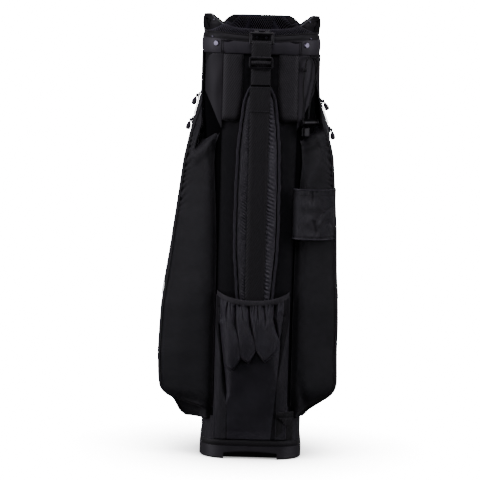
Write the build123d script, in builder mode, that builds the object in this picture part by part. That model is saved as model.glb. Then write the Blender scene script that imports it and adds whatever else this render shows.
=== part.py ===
"""Golf cart bag: a tapered trunk with a moulded cuff, lift handles, club dividers, zipped pockets,
a carrying strap tucked into a gathered pocket, an umbrella cord and sleeve, and a moulded base.

Millimetres, +Z up. The origin is the middle of the base's underside, and -Y is the strap side.
"""

import math
import os

from build123d import *

os.makedirs("parts", exist_ok=True)

# Driving dimensions: trunk
TRUNK_BOTTOM, TRUNK_TOP = 26.0, 820.0
TRUNK_HALF_WIDTH = (98.0, 113.0)
TRUNK_HALF_DEPTH = (106.0, 112.0)
TRUNK_CORNER = 55.0
TRUNK_WALL = 4.0
FABRIC_GAP = 0.4

# Driving dimensions: base and hem
BASE_HALF = (101.0, 109.0)
BASE_CORNER = 58.0
NOTCH_HALF, NOTCH_SIDE_HEIGHT, NOTCH_MID_HEIGHT, NOTCH_DEPTH = 53.0, 12.5, 16.0, 24.0
HEM_HEIGHT, HEM_THICKNESS = 11.5, 2.4

# Driving dimensions: cuff, handles and dividers
CUFF_OPENING = (78.0, 98.0)
CUFF_OPENING_CORNER = 45.0
CUFF_WALL = 5.0
FLANGE = 8.0
CUFF_FLOOR = TRUNK_TOP + FLANGE
REAR_RIM, SIDE_RIM, VALLEY_RIM, FRONT_RIM = 848.0, 856.0, 853.0, 872.0
HANDLE_TOP = 876.0
HANDLE_REACH, HANDLE_BAR, HANDLE_HALF_SPAN = 117.0, 12.0, 54.0
FRONT_HANDLE_REACH = 137.0
DIVIDER_REAR_X, DIVIDER_FRONT_X, DIVIDER_HALF_RUN = 36.0, 25.0, 96.5
DIVIDER_BAR, DIVIDER_SHEET = 7.0, 1.6
CROSS_BAR_TOP, LONG_BAR_REAR, LONG_BAR_FRONT = 843.0, 850.0, 866.0
STAY_RADIUS = 3.0
STAY_PLACES = [(74, 76), (74, -76), (-74, 76), (-74, -76)]

# Driving dimensions: strap
WEBBING_WIDTH, WEBBING_THICKNESS = 38.0, 2.2
STRAP_BACK = -112.6
PAD_MIDDLE = 545.0
PAD_EDGE = [(742, 19), (713, 32), (660, 39), (610, 43.5), (PAD_MIDDLE + 0.3, 45)]
PAD_EDGE_LOW = [(PAD_MIDDLE, 45), (418, 45), (326, 37), (262, 25)]
PAD_TIP = 250.0
RING_WIRE = 2.5
RING_AXIS_Y, RING_AXIS_Z, RING_BAR_Z = -123.0, 843.0, 824.0
RING_HALF_WIDTH = 21.5
LUG_INNER, LUG_OUTER, LUG_WALL = 6.0, 15.0, 1.3
BUCKLE_Z, BUCKLE_WIDTH, BUCKLE_HEIGHT, BUCKLE_THICKNESS = 786.0, 47.0, 23.5, 3.6

# Driving dimensions: pockets, as (height, reach, rear face by the trunk, rear face outside, front face)
LEFT_POCKET = [
    (80, 138, -86, -70, 50),
    (119, 161, -97, -82, 60),
    (131, 180, -100, -86, 64),
    (165, 187, -103, -90, 68),
    (300, 186, -104, -92, 70),
    (672, 129.5, -103, -82, 58),
    (722, 116.5, -91, -64, 44),
    (801, 116.5, -80, -55, 35),
]
RIGHT_POCKET = [
    (84, 106, -86, -70, 50),
    (118, 146, -97, -82, 60),
    (136, 164, -100, -86, 64),
    (156, 169, -103, -90, 68),
    (300, 168, -104, -92, 70),
    (660, 138, -104, -84, 60),
    (716, 117, -92, -66, 45),
    (801, 117, -80, -55, 35),
]
POCKET_CREASE, POCKET_ROOT = 73.0, 40.0
POCKET_CORNER = 16.0
FRONT_POCKETS = {  # name: (middle height, width, height, front face, taper)
    "ball_pocket": (197, 206, 258, 190, 10),
    "cooler_pocket": (453, 196, 216, 168, 9),
    "valuables_pocket": (659, 184, 152, 150, 8),
}
STASH_HALF, STASH_MOUTH, STASH_FLOOR = 72.0, 322.0, 218.0
STASH_WALL, STASH_BULGE = 2.4, 150.5
SLEEVE_LOW, SLEEVE_HIGH, SLEEVE_WALL = 442.0, 541.0, 1.8

# Driving dimensions: zips, pulls and the umbrella cord
TAPE_WIDTH, TAPE_THICKNESS = 18.0, 1.0
TEETH_WIDTH, TEETH_HEIGHT = 5.0, 2.4
SLIDER_LENGTH, SLIDER_WIDTH, SLIDER_TOP, BAIL_RISE = 12.0, 10.0, 4.2, 1.8
BAIL_BORE, PULL_PIN = 1.25, 1.2
PULL_LENGTH, PULL_WIDTH, PULL_ARM, PULL_LIFT = 20.0, 9.0, 3.2, 3.0
FAN_REACH, FAN_THICKNESS = 3.8, 6.8
CORD_RADIUS = 1.7
LOCK_X, LOCK_Z, LOCK_RADIUS, LOCK_LENGTH = 91.0, 670.5, 7.2, 30.0


def write(part, name):
    """Labels a finished piece and writes its STEP file."""
    part.label = name
    export_step(part, f"parts/{name}.step")


def at_height(ends, z):
    """A trunk half-size at a height, tapering evenly from the bottom to the top."""
    share = (z - TRUNK_BOTTOM) / (TRUNK_TOP - TRUNK_BOTTOM)
    return ends[0] + (ends[1] - ends[0]) * share


def trunk_envelope(gap=0.0, low=TRUNK_BOTTOM, high=TRUNK_TOP):
    """The trunk's outside as one solid, grown by gap, between two heights."""
    with BuildPart() as envelope:
        for z in (low, high):
            with BuildSketch(Plane.XY.offset(z)):
                RectangleRounded(
                    2 * (at_height(TRUNK_HALF_WIDTH, z) + gap),
                    2 * (at_height(TRUNK_HALF_DEPTH, z) + gap),
                    TRUNK_CORNER + gap,
                )
        loft(ruled=True)
    return envelope.part


def rear_plane(y):
    """A plane facing -Y at that Y, whose sketch axes are X and Z."""
    return Plane(origin=(0, y, 0), x_dir=(1, 0, 0), z_dir=(0, -1, 0))


trunk_clear = trunk_envelope(gap=FABRIC_GAP)

# Base: a moulded foot with a notch front and rear
with BuildPart() as base_foot:
    with BuildSketch():
        RectangleRounded(2 * BASE_HALF[0], 2 * BASE_HALF[1], BASE_CORNER)
    extrude(amount=TRUNK_BOTTOM)
    chamfer(base_foot.faces().sort_by(Axis.Z)[0].edges(), length=3)
    with BuildSketch(rear_plane(0)) as notch_outline:
        with BuildLine():
            Polyline(
                (-NOTCH_HALF, NOTCH_SIDE_HEIGHT), (-NOTCH_HALF, -1), (NOTCH_HALF, -1),
                (NOTCH_HALF, NOTCH_SIDE_HEIGHT),
            )
            ThreePointArc(
                (-NOTCH_HALF, NOTCH_SIDE_HEIGHT), (0, NOTCH_MID_HEIGHT), (NOTCH_HALF, NOTCH_SIDE_HEIGHT)
            )
        make_face()
    for side in (-1, 1):
        notch_start = side * (BASE_HALF[1] - NOTCH_DEPTH)
        extrude(
            notch_outline.sketch.moved(Location((0, notch_start, 0))),
            amount=NOTCH_DEPTH + 1,
            dir=(0, side, 0),
            mode=Mode.SUBTRACT,
        )
write(base_foot.part, "base_foot")

# Hem: the bound edge where the fabric meets the base
with BuildPart() as hem_band:
    add(trunk_envelope(gap=HEM_THICKNESS, low=TRUNK_BOTTOM + 0.2, high=TRUNK_BOTTOM + HEM_HEIGHT))
    add(trunk_envelope(gap=0.1), mode=Mode.SUBTRACT)
write(hem_band.part, "hem_band")

# Trunk: four stiffened fabric panels sewn along the corners
SIDE_HALF = TRUNK_HALF_DEPTH[0] - TRUNK_CORNER
PANEL_REACH = 400.0
panel_boxes = {
    "trunk_back_panel": ((0, -SIDE_HALF - PANEL_REACH / 2, 0), (PANEL_REACH, PANEL_REACH, 4 * PANEL_REACH)),
    "trunk_front_panel": ((0, SIDE_HALF + PANEL_REACH / 2, 0), (PANEL_REACH, PANEL_REACH, 4 * PANEL_REACH)),
    "trunk_left_panel": ((-PANEL_REACH / 2, 0, 0), (PANEL_REACH, 2 * SIDE_HALF, 4 * PANEL_REACH)),
    "trunk_right_panel": ((PANEL_REACH / 2, 0, 0), (PANEL_REACH, 2 * SIDE_HALF, 4 * PANEL_REACH)),
}
for name, (middle, size) in panel_boxes.items():
    with BuildPart() as trunk_panel:
        add(trunk_envelope())
        add(trunk_envelope(gap=-TRUNK_WALL), mode=Mode.SUBTRACT)
        with Locations(middle):
            Box(*size, mode=Mode.INTERSECT)
    write(trunk_panel.part, name)

# Stays: rods that hold the cuff up off the base
with BuildPart() as stay_rods:
    with BuildSketch(Plane.XY.offset(TRUNK_BOTTOM)):
        with Locations(STAY_PLACES):
            Circle(STAY_RADIUS)
    extrude(amount=TRUNK_TOP - TRUNK_BOTTOM)
write(stay_rods.part, "stay_rods")

# Cuff: a flange on the trunk with a wall whose rim is lower behind, dips beside the handles and rises in front
with BuildPart() as rim_cutter:
    with BuildSketch(Plane.YZ):
        Polygon(
            (-140, REAR_RIM), (-64, REAR_RIM + 2), (-42, SIDE_RIM), (42, SIDE_RIM), (72, VALLEY_RIM),
            (97, FRONT_RIM), (140, FRONT_RIM), (140, 900), (-140, 900),
            align=None,
        )
    extrude(amount=160, both=True)
above_rim = rim_cutter.part

with BuildPart() as cuff_ring:
    with BuildSketch(Plane.XY.offset(TRUNK_TOP)):
        RectangleRounded(
            2 * (TRUNK_HALF_WIDTH[1] + 2), 2 * (TRUNK_HALF_DEPTH[1] + 2), TRUNK_CORNER + 2
        )
        RectangleRounded(
            2 * CUFF_OPENING[0], 2 * CUFF_OPENING[1], CUFF_OPENING_CORNER, mode=Mode.SUBTRACT
        )
    extrude(amount=FLANGE)
    with BuildSketch(Plane.XY.offset(CUFF_FLOOR)):
        RectangleRounded(
            2 * (CUFF_OPENING[0] + CUFF_WALL),
            2 * (CUFF_OPENING[1] + CUFF_WALL),
            CUFF_OPENING_CORNER + CUFF_WALL,
        )
        RectangleRounded(
            2 * CUFF_OPENING[0], 2 * CUFF_OPENING[1], CUFF_OPENING_CORNER, mode=Mode.SUBTRACT
        )
    extrude(amount=FRONT_RIM - CUFF_FLOOR)
    add(above_rim, mode=Mode.SUBTRACT)
write(cuff_ring.part, "cuff_ring")

# Rim pads: mesh-covered rolls outside the cuff wall, leaning in towards the rim
RIM_GAP = 0.3
rim_pads = {"rear_rim_pad": (-1, REAR_RIM, 92, 112, 24), "front_rim_pad": (1, FRONT_RIM, 91, 111, 9)}
for name, (side, top, half_width, half_depth, lean) in rim_pads.items():
    with BuildPart() as rim_pad:
        with BuildSketch(Plane.XY.offset(CUFF_FLOOR + RIM_GAP)):
            RectangleRounded(2 * half_width, 2 * half_depth, TRUNK_CORNER)
        extrude(amount=top - CUFF_FLOOR, taper=lean)
        with BuildSketch(Plane.XY.offset(CUFF_FLOOR)):
            RectangleRounded(
                2 * (CUFF_OPENING[0] + CUFF_WALL + RIM_GAP),
                2 * (CUFF_OPENING[1] + CUFF_WALL + RIM_GAP),
                CUFF_OPENING_CORNER + CUFF_WALL + RIM_GAP,
            )
        extrude(amount=80, mode=Mode.SUBTRACT)
        with Locations((0, side * (HANDLE_HALF_SPAN + 8 + 100), CUFF_FLOOR)):
            Box(400, 200, 200, mode=Mode.INTERSECT)
        add(above_rim, mode=Mode.SUBTRACT)
    write(rim_pad.part, name)


def lift_handle(reach, wall, half_span, bar, top, low_end):
    """A grab handle drawn on the +X side: a bar that bows out from the cuff wall, with a finger gap behind."""
    wall += RIM_GAP
    with BuildPart() as handle:
        with BuildSketch(Plane.XY.offset(CUFF_FLOOR + RIM_GAP)):
            with BuildLine():
                ThreePointArc((wall, -half_span), (reach, 0), (wall, half_span))
                Line((wall, half_span), (wall, half_span - bar))
                ThreePointArc((wall, half_span - bar), (reach - bar, 0), (wall, bar - half_span))
                Line((wall, bar - half_span), (wall, -half_span))
            make_face()
        extrude(amount=top - CUFF_FLOOR - RIM_GAP)
        with BuildSketch(Plane.YZ):
            for side in (-1, 1):
                Polygon(
                    (side * (half_span + 5), low_end), (side * 0.62 * half_span, top),
                    (side * (half_span + 5), top), align=None,
                )
        extrude(amount=2 * reach, mode=Mode.SUBTRACT)
    return handle.part


side_handle = lift_handle(
    HANDLE_REACH, CUFF_OPENING[0] + CUFF_WALL, HANDLE_HALF_SPAN, HANDLE_BAR, HANDLE_TOP, 852
)
write(side_handle, "right_lift_handle")
write(mirror(side_handle, about=Plane.YZ), "left_lift_handle")
front_handle = lift_handle(FRONT_HANDLE_REACH, TRUNK_HALF_DEPTH[1] + 0.5, 46, 11, 862, 836)
write(front_handle.rotate(Axis.Z, 90), "front_lift_handle")

# Yoke band: the smooth trim round the trunk just under the cuff
YOKE_LOW, YOKE_THICKNESS = 802.0, 2.6
with BuildPart() as yoke_band:
    add(trunk_envelope(gap=YOKE_THICKNESS, low=YOKE_LOW, high=TRUNK_TOP - 0.3))
    add(trunk_envelope(), mode=Mode.SUBTRACT)
write(yoke_band.part, "yoke_band")

# Snap studs for a rain hood: one pair on the yoke corners, one pair on the cuff corners
SNAP_RADIUS, SNAP_HEIGHT, SNAP_Z, SNAP_TURN = 5.5, 3.0, 821.5, math.radians(59)
SNAP_REACH = TRUNK_CORNER + YOKE_THICKNESS
with BuildPart() as snap_studs:
    for side in (-1, 1):
        snap_x = at_height(TRUNK_HALF_WIDTH, SNAP_Z) - TRUNK_CORNER + SNAP_REACH * math.cos(SNAP_TURN)
        snap_y = at_height(TRUNK_HALF_DEPTH, SNAP_Z) - TRUNK_CORNER + SNAP_REACH * math.sin(SNAP_TURN)
        stud_plane = Plane(
            origin=(side * snap_x, -snap_y, SNAP_Z), z_dir=(side * math.cos(SNAP_TURN), -math.sin(SNAP_TURN), 0)
        )
        with BuildSketch(stud_plane.offset(0.3)):
            Circle(SNAP_RADIUS)
        extrude(amount=SNAP_HEIGHT, taper=20)
        with BuildSketch(Plane.XY.offset(CUFF_FLOOR)):
            with Locations((side * 94, -80)):
                Circle(SNAP_RADIUS - 1.5)
        extrude(amount=SNAP_HEIGHT, taper=20)
write(snap_studs.part, "snap_studs")

# Dividers: padded bars across the cuff, with full-length fabric sheets below them
BAR_LOW = TRUNK_TOP - 2
MIDDLE_X = (DIVIDER_REAR_X + DIVIDER_FRONT_X) / 2
BAR_SIDE = DIVIDER_BAR / 2 + 0.8
divider_runs = [((BAR_SIDE - MIDDLE_X, 0), (MIDDLE_X - BAR_SIDE, 0))]
for side in (-1, 1):
    divider_runs.append(
        ((side * DIVIDER_REAR_X, -DIVIDER_HALF_RUN), (side * DIVIDER_FRONT_X, DIVIDER_HALF_RUN))
    )
    divider_runs.append(((side * (MIDDLE_X + BAR_SIDE), 0), (side * (CUFF_OPENING[0] - 0.5), 0)))


def divider_walls(name, thickness, low, high, long_high):
    """Upright walls, one on each run of the plan. The two long ones reach higher, and slope down to the rear."""
    with BuildPart() as walls:
        for start, end in divider_runs:
            run = Vector(end[0] - start[0], end[1] - start[1])
            middle = ((start[0] + end[0]) / 2, (start[1] + end[1]) / 2, low)
            with BuildSketch(Plane(origin=middle, x_dir=(run.X, run.Y, 0), z_dir=(0, 0, 1))):
                Rectangle(run.length, thickness)
            extrude(amount=(high if run.Y == 0 else long_high) - low)
        with BuildSketch(Plane.YZ):
            Polygon(
                (-DIVIDER_HALF_RUN - 5, LONG_BAR_REAR), (DIVIDER_HALF_RUN + 5, LONG_BAR_FRONT),
                (DIVIDER_HALF_RUN + 5, 900), (-DIVIDER_HALF_RUN - 5, 900), align=None,
            )
        extrude(amount=100, both=True, mode=Mode.SUBTRACT)
    write(walls.part, name)


divider_walls("divider_bars", DIVIDER_BAR, BAR_LOW, CROSS_BAR_TOP, LONG_BAR_FRONT)
divider_walls("divider_sheets", DIVIDER_SHEET, TRUNK_BOTTOM, BAR_LOW - 0.2, BAR_LOW - 0.2)

# Back strips: two padded strips that stand proud beside the strap
STRIP_INNER, STRIP_OUTER, STRIP_LOW, STRIP_FRONT = 34.5, 73.5, 670.0, -121.5
for side, word in ((-1, "left"), (1, "right")):
    with BuildPart() as back_strip:
        with Locations((side * (STRIP_INNER + STRIP_OUTER) / 2, STRIP_FRONT / 2, 0)):
            Box(
                STRIP_OUTER - STRIP_INNER, -STRIP_FRONT, 2 * (YOKE_LOW - 0.4),
                align=(Align.CENTER, Align.CENTER, Align.CENTER),
            )
        with Locations((0, 0, STRIP_LOW)):
            Box(400, 400, 800, align=(Align.CENTER, Align.CENTER, Align.MIN), mode=Mode.INTERSECT)
        outer_edges = back_strip.faces().sort_by(Axis.Y)[0].edges()
        fillet(outer_edges, radius=5)
        with BuildSketch(rear_plane(0)):
            Polygon(
                (side * 30, 726), (side * STRIP_INNER, 726), (side * 41.5, 665), (side * 30, 665), align=None
            )
        extrude(amount=200, mode=Mode.SUBTRACT)
        add(trunk_clear, mode=Mode.SUBTRACT)
    write(back_strip.part, f"{word}_back_strip")

# Strap ring: a wire loop whose upper bar turns in two lugs of a keeper on the cuff
with BuildPart() as strap_ring:
    for bar_z in (RING_AXIS_Z, RING_BAR_Z):
        with BuildSketch(Plane(origin=(-RING_HALF_WIDTH, RING_AXIS_Y, bar_z), z_dir=(1, 0, 0))):
            Circle(RING_WIRE)
        extrude(amount=2 * RING_HALF_WIDTH)
    for side in (-1, 1):
        with BuildSketch(Plane(origin=(side * RING_HALF_WIDTH, RING_AXIS_Y, RING_BAR_Z))):
            Circle(RING_WIRE)
        extrude(amount=RING_AXIS_Z - RING_BAR_Z)
        for corner_z in (RING_AXIS_Z, RING_BAR_Z):
            with Locations((side * RING_HALF_WIDTH, RING_AXIS_Y, corner_z)):
                Sphere(RING_WIRE)
write(strap_ring.part, "strap_ring")

KEEPER_FACE, KEEPER_THICKNESS = -114.2, 3.0
with BuildPart() as ring_keeper:
    with BuildSketch(rear_plane(KEEPER_FACE)):
        with Locations((0, RING_AXIS_Z - 3)):
            RectangleRounded(2 * LUG_OUTER + 4, 17, 3)
    extrude(amount=KEEPER_THICKNESS)
    for side in (-1, 1):
        lug_plane = Plane(origin=(side * LUG_INNER, 0, 0), x_dir=(0, 1, 0), z_dir=(side, 0, 0))
        with BuildSketch(lug_plane):
            lug_y = RING_AXIS_Y
            lug_z = RING_AXIS_Z * side
            with Locations((lug_y, lug_z)):
                Circle(RING_WIRE + LUG_WALL)
            with Locations(((lug_y + KEEPER_FACE - KEEPER_THICKNESS) / 2, lug_z)):
                Rectangle(KEEPER_FACE - KEEPER_THICKNESS - lug_y, 2 * (RING_WIRE + LUG_WALL))
            with Locations((lug_y, lug_z)):
                Circle(RING_WIRE + 0.05, mode=Mode.SUBTRACT)
        extrude(amount=LUG_OUTER - LUG_INNER)
write(ring_keeper.part, "ring_keeper")

with BuildPart() as keeper_rivets:
    with BuildSketch(rear_plane(KEEPER_FACE - KEEPER_THICKNESS)):
        with Locations((-9, RING_AXIS_Z - 8), (9, RING_AXIS_Z - 8)):
            Circle(2.6)
    extrude(amount=1.4, taper=25)
write(keeper_rivets.part, "keeper_rivets")

# Strap: webbing from the ring over the pad, and the pad in two halves that meet at the fold
WEB_INNER = RING_WIRE + 0.2
with BuildPart() as strap_webbing_upper:
    loop_plane = Plane(origin=(-WEBBING_WIDTH / 2, RING_AXIS_Y, RING_BAR_Z), x_dir=(0, 1, 0), z_dir=(1, 0, 0))
    with BuildSketch(loop_plane):
        Circle(WEB_INNER + WEBBING_THICKNESS)
        Circle(WEB_INNER, mode=Mode.SUBTRACT)
        front_run = RING_BAR_Z - PAD_MIDDLE - 0.3
        back_run = RING_BAR_Z - PAD_EDGE[0][0] - 45
        for face, length in ((-1, front_run), (1, back_run)):
            with Locations((face * (WEB_INNER + WEBBING_THICKNESS / 2), -length / 2)):
                Rectangle(WEBBING_THICKNESS, length)
        with Locations((0, -WEB_INNER - 1)):
            Rectangle(2 * WEB_INNER, 2.4)
        Circle(WEB_INNER, mode=Mode.SUBTRACT)
    extrude(amount=WEBBING_WIDTH)
write(strap_webbing_upper.part, "strap_webbing_upper")
WEB_BACK = RING_AXIS_Y - WEB_INNER

with BuildPart() as strap_webbing_lower:
    with BuildSketch(rear_plane(WEB_BACK)):
        with Locations((0, (PAD_MIDDLE + PAD_TIP + 14) / 2)):
            Rectangle(WEBBING_WIDTH, PAD_MIDDLE - PAD_TIP - 14)
    extrude(amount=WEBBING_THICKNESS)
write(strap_webbing_lower.part, "strap_webbing_lower")


def pad_half(edge, tip=None):
    """Half of the strap's pad: a crowned cushion whose outline follows edge, closed by a round tip."""
    with BuildPart() as pad:
        with BuildSketch(rear_plane(STRAP_BACK)):
            with BuildLine():
                right = Spline(*[(half, z) for z, half in edge])
                left = Spline(*[(-half, z) for z, half in edge])
                Line(right @ 0, left @ 0)
                if tip is None:
                    Line(right @ 1, left @ 1)
                else:
                    ThreePointArc(right @ 1, (0, tip), left @ 1)
            make_face()
        extrude(amount=STRAP_BACK - WEB_BACK - 0.1)
        crown_edges = pad.faces().sort_by(Axis.Y)[0].edges().filter_by(GeomType.BSPLINE)
        fillet(crown_edges, radius=4)
    return pad.part


write(pad_half(PAD_EDGE), "strap_pad_upper")
write(pad_half(PAD_EDGE_LOW, PAD_TIP), "strap_pad_lower")

# Strap adjuster: a three-bar slide with the webbing's sewn fold round its middle bar
BUCKLE_BACK = WEB_BACK - WEBBING_THICKNESS - 0.3
BUCKLE_WINDOW = 6.2
with BuildPart() as strap_buckle:
    with BuildSketch(rear_plane(BUCKLE_BACK)):
        with Locations((0, BUCKLE_Z)):
            RectangleRounded(BUCKLE_WIDTH, BUCKLE_HEIGHT, 5)
        with Locations((0, BUCKLE_Z - 5.2), (0, BUCKLE_Z + 5.2)):
            Rectangle(WEBBING_WIDTH + 1.5, BUCKLE_WINDOW, mode=Mode.SUBTRACT)
    extrude(amount=BUCKLE_THICKNESS)
    fillet(strap_buckle.faces().sort_by(Axis.Y)[0].outer_wire().edges(), radius=1.2)
write(strap_buckle.part, "strap_buckle")

FOLD_THICKNESS = 1.8
with BuildPart() as buckle_fold:
    fold_plane = Plane(
        origin=(-WEBBING_WIDTH / 2, BUCKLE_BACK - BUCKLE_THICKNESS, BUCKLE_Z), x_dir=(0, 1, 0), z_dir=(1, 0, 0)
    )
    middle_bar = 10.4 - BUCKLE_WINDOW
    with BuildSketch(fold_plane):
        with Locations((-FOLD_THICKNESS / 2 - 0.2, 0)):
            Rectangle(FOLD_THICKNESS, middle_bar + 2 * FOLD_THICKNESS + 0.4)
        for side in (-1, 1):
            with Locations((BUCKLE_THICKNESS / 2 - 0.2, side * (middle_bar / 2 + 0.2 + FOLD_THICKNESS / 2))):
                Rectangle(BUCKLE_THICKNESS, FOLD_THICKNESS)
    extrude(amount=WEBBING_WIDTH)
    fillet(buckle_fold.faces().sort_by(Axis.Y)[0].edges().filter_by(Axis.X), radius=1.4)
write(buckle_fold.part, "buckle_fold")

# Stash pocket: a gathered pouch on the back that swallows the strap's lower end
CAVITY_HALF = STASH_HALF - 2 * STASH_WALL
with BuildPart() as stash_pocket:
    for z, bulge in ((40, 110.5), (120, 121), (STASH_FLOOR, 138), (STASH_MOUTH, STASH_BULGE)):
        with BuildSketch(Plane.XY.offset(z)):
            with BuildLine():
                rim = ThreePointArc((-STASH_HALF, -98), (0, -bulge), (STASH_HALF, -98))
                Line(rim @ 1, rim @ 0)
            make_face()
    loft(ruled=True)
    for z, bulge in ((STASH_FLOOR, 138), (STASH_MOUTH + 1, STASH_BULGE + 0.1)):
        with BuildSketch(Plane.XY.offset(z), mode=Mode.PRIVATE) as cavity_outline:
            with BuildLine():
                rim = ThreePointArc((-CAVITY_HALF, -98), (0, STASH_WALL - bulge), (CAVITY_HALF, -98))
                Line(rim @ 1, rim @ 0)
            make_face()
        add(cavity_outline.sketch)
    loft(ruled=True, mode=Mode.SUBTRACT)
    add(trunk_clear, mode=Mode.SUBTRACT)
write(stash_pocket.part, "stash_pocket")

ELASTIC_HEIGHT = 9.0
with BuildPart() as pocket_elastic:
    with BuildSketch(Plane.XY.offset(STASH_MOUTH + 0.2)):
        with BuildLine():
            outer_rim = ThreePointArc((-STASH_HALF, -98), (0, -STASH_BULGE - 1.2), (STASH_HALF, -98))
            inner_rim = ThreePointArc((-CAVITY_HALF, -98), (0, STASH_WALL - STASH_BULGE), (CAVITY_HALF, -98))
            Line(outer_rim @ 0, inner_rim @ 0)
            Line(outer_rim @ 1, inner_rim @ 1)
        make_face()
    extrude(amount=ELASTIC_HEIGHT)
    add(trunk_clear, mode=Mode.SUBTRACT)
write(pocket_elastic.part, "pocket_elastic")


# Side pockets: hanging garment pockets that swell towards the bottom
def side_pocket(name, sections, side):
    """A closed pocket lofted through level sections and cut back to the trunk."""
    with BuildPart() as pocket:
        for z, reach, rear_inside, rear_outside, front in sections:
            with BuildSketch(Plane.XY.offset(z)) as section:
                outline = [
                    (POCKET_ROOT, front), (POCKET_ROOT, rear_inside), (POCKET_CREASE, rear_inside),
                    (reach, rear_outside), (reach, front),
                ]
                Polygon(*[(side * x, y) for x, y in outline], align=None)
                outer_corners = section.vertices().group_by(Axis.X)[-1 if side > 0 else 0]
                fillet(outer_corners, radius=POCKET_CORNER)
        loft(ruled=True)
        add(trunk_clear, mode=Mode.SUBTRACT)
    write(pocket.part, name)
    return pocket.part


side_pocket("left_pocket", LEFT_POCKET, -1)
right_pocket = side_pocket("right_pocket", RIGHT_POCKET, 1)

# Front pockets: three tapered pouches, one above the other
POUCH_ROOT = 92.0
for name, (middle, width, height, front, taper) in FRONT_POCKETS.items():
    with BuildPart() as pouch:
        with BuildSketch(Plane(origin=(0, POUCH_ROOT, middle), x_dir=(-1, 0, 0), z_dir=(0, 1, 0))):
            RectangleRounded(width, height, 34)
        extrude(amount=front - POUCH_ROOT, taper=taper)
        fillet(pouch.faces().sort_by(Axis.Y)[-1].edges(), radius=7)
        add(trunk_clear, mode=Mode.SUBTRACT)
    write(pouch.part, name)

# Umbrella sleeve: a fabric tube across the back of the right pocket
with BuildPart() as umbrella_sleeve:
    with BuildSketch(Plane.XY.offset(SLEEVE_LOW)):
        with BuildLine():
            sleeve_out = ThreePointArc((78, -99), (112, -127), (154, -78))
            sleeve_in = ThreePointArc((82, -98), (112, -127 + SLEEVE_WALL), (150, -78))
            Line(sleeve_out @ 0, sleeve_in @ 0)
            Line(sleeve_out @ 1, sleeve_in @ 1)
        make_face()
    extrude(amount=SLEEVE_HIGH - SLEEVE_LOW)
    add(right_pocket, mode=Mode.SUBTRACT)
    add(trunk_clear, mode=Mode.SUBTRACT)
write(umbrella_sleeve.part, "umbrella_sleeve")

# Webbing tab: a strip sewn down the back corner above the base
TAB_INNER, TAB_OUTER, TAB_TOP, TAB_THICKNESS = 50.0, 84.0, 97.0, 2.0
with BuildPart() as webbing_tab:
    add(trunk_envelope(gap=TAB_THICKNESS, low=TRUNK_BOTTOM + HEM_HEIGHT + 0.4, high=TAB_TOP))
    with Locations(((TAB_INNER + TAB_OUTER) / 2, -100, 0)):
        Box(TAB_OUTER - TAB_INNER, 140, 400, mode=Mode.INTERSECT)
    add(trunk_clear, mode=Mode.SUBTRACT)
    add(stash_pocket.part, mode=Mode.SUBTRACT)
write(webbing_tab.part, "webbing_tab")


# Zips: a tape with teeth, a slider that straddles the teeth, and a fan-shaped pull on the slider's bail
tapes = []


def zip_set(name, middle, along, outward, length, start):
    """One zip on a flat face. along is the way the slider closes, start the closed slider's place along it."""
    tape_plane = Plane(origin=middle, x_dir=along, z_dir=outward)
    with BuildPart() as tape:
        with BuildSketch(tape_plane.offset(0.3)):
            Rectangle(length, TAPE_WIDTH)
        extrude(amount=TAPE_THICKNESS)
        with BuildSketch(tape_plane.offset(0.3 + TAPE_THICKNESS)):
            Rectangle(length, TEETH_WIDTH)
        extrude(amount=TEETH_HEIGHT - TAPE_THICKNESS)
    tapes.append(tape.part)

    slider_plane = Plane(origin=tape_plane.from_local_coords((start, 0, 0)), x_dir=along, z_dir=outward)
    bail_height = SLIDER_TOP + BAIL_RISE
    with BuildPart() as slider:
        with BuildSketch(slider_plane.offset(0.3 + TAPE_THICKNESS + 0.3)):
            Rectangle(SLIDER_LENGTH, SLIDER_WIDTH)
        extrude(amount=SLIDER_TOP - 0.6 - TAPE_THICKNESS)
        with BuildSketch(slider_plane):
            Rectangle(SLIDER_LENGTH + 2, TEETH_WIDTH + 0.8)
        extrude(amount=0.3 + TEETH_HEIGHT + 0.4, mode=Mode.SUBTRACT)
        bail_plane = Plane(origin=slider_plane.origin, x_dir=along, z_dir=-slider_plane.y_dir)
        with BuildSketch(bail_plane):
            with Locations((0, bail_height)):
                Circle(2.6)
            with Locations((0, (SLIDER_TOP + bail_height) / 2 - 0.4)):
                Rectangle(5.2, bail_height - SLIDER_TOP + 0.8)
            with Locations((0, bail_height)):
                Circle(BAIL_BORE, mode=Mode.SUBTRACT)
        extrude(amount=2.0, both=True)
    write(slider.part, f"{name}_slider")

    pin_middle = slider_plane.from_local_coords((0, 0, bail_height))
    tilt = math.radians(PULL_LIFT)
    pull_dir = slider_plane.x_dir * -math.cos(tilt) + slider_plane.z_dir * math.sin(tilt)
    pull_plane = Plane(origin=pin_middle, x_dir=pull_dir, z_dir=slider_plane.y_dir)
    with BuildPart() as pull:
        with BuildSketch(pull_plane):
            Circle(PULL_PIN)
        extrude(amount=PULL_WIDTH / 2, both=True)
        for face in (-1, 1):
            with BuildSketch(pull_plane.offset(face * 2.3)):
                Circle(PULL_ARM / 2)
                with Locations((2.9, 0)):
                    Rectangle(5.8, PULL_ARM)
            extrude(amount=face * (PULL_WIDTH / 2 - 2.3))
        with BuildSketch(pull_plane):
            Polygon(
                (3.4, -PULL_ARM / 2), (3.4, PULL_ARM / 2), (PULL_LENGTH - 6, FAN_REACH), (PULL_LENGTH - 2, FAN_REACH),
                (PULL_LENGTH, FAN_REACH - 2.5), (PULL_LENGTH, 0), (PULL_LENGTH - 1.6, -PULL_ARM / 2), align=None,
            )
        extrude(amount=FAN_THICKNESS / 2, both=True)
    write(pull.part, f"{name}_pull")


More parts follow.
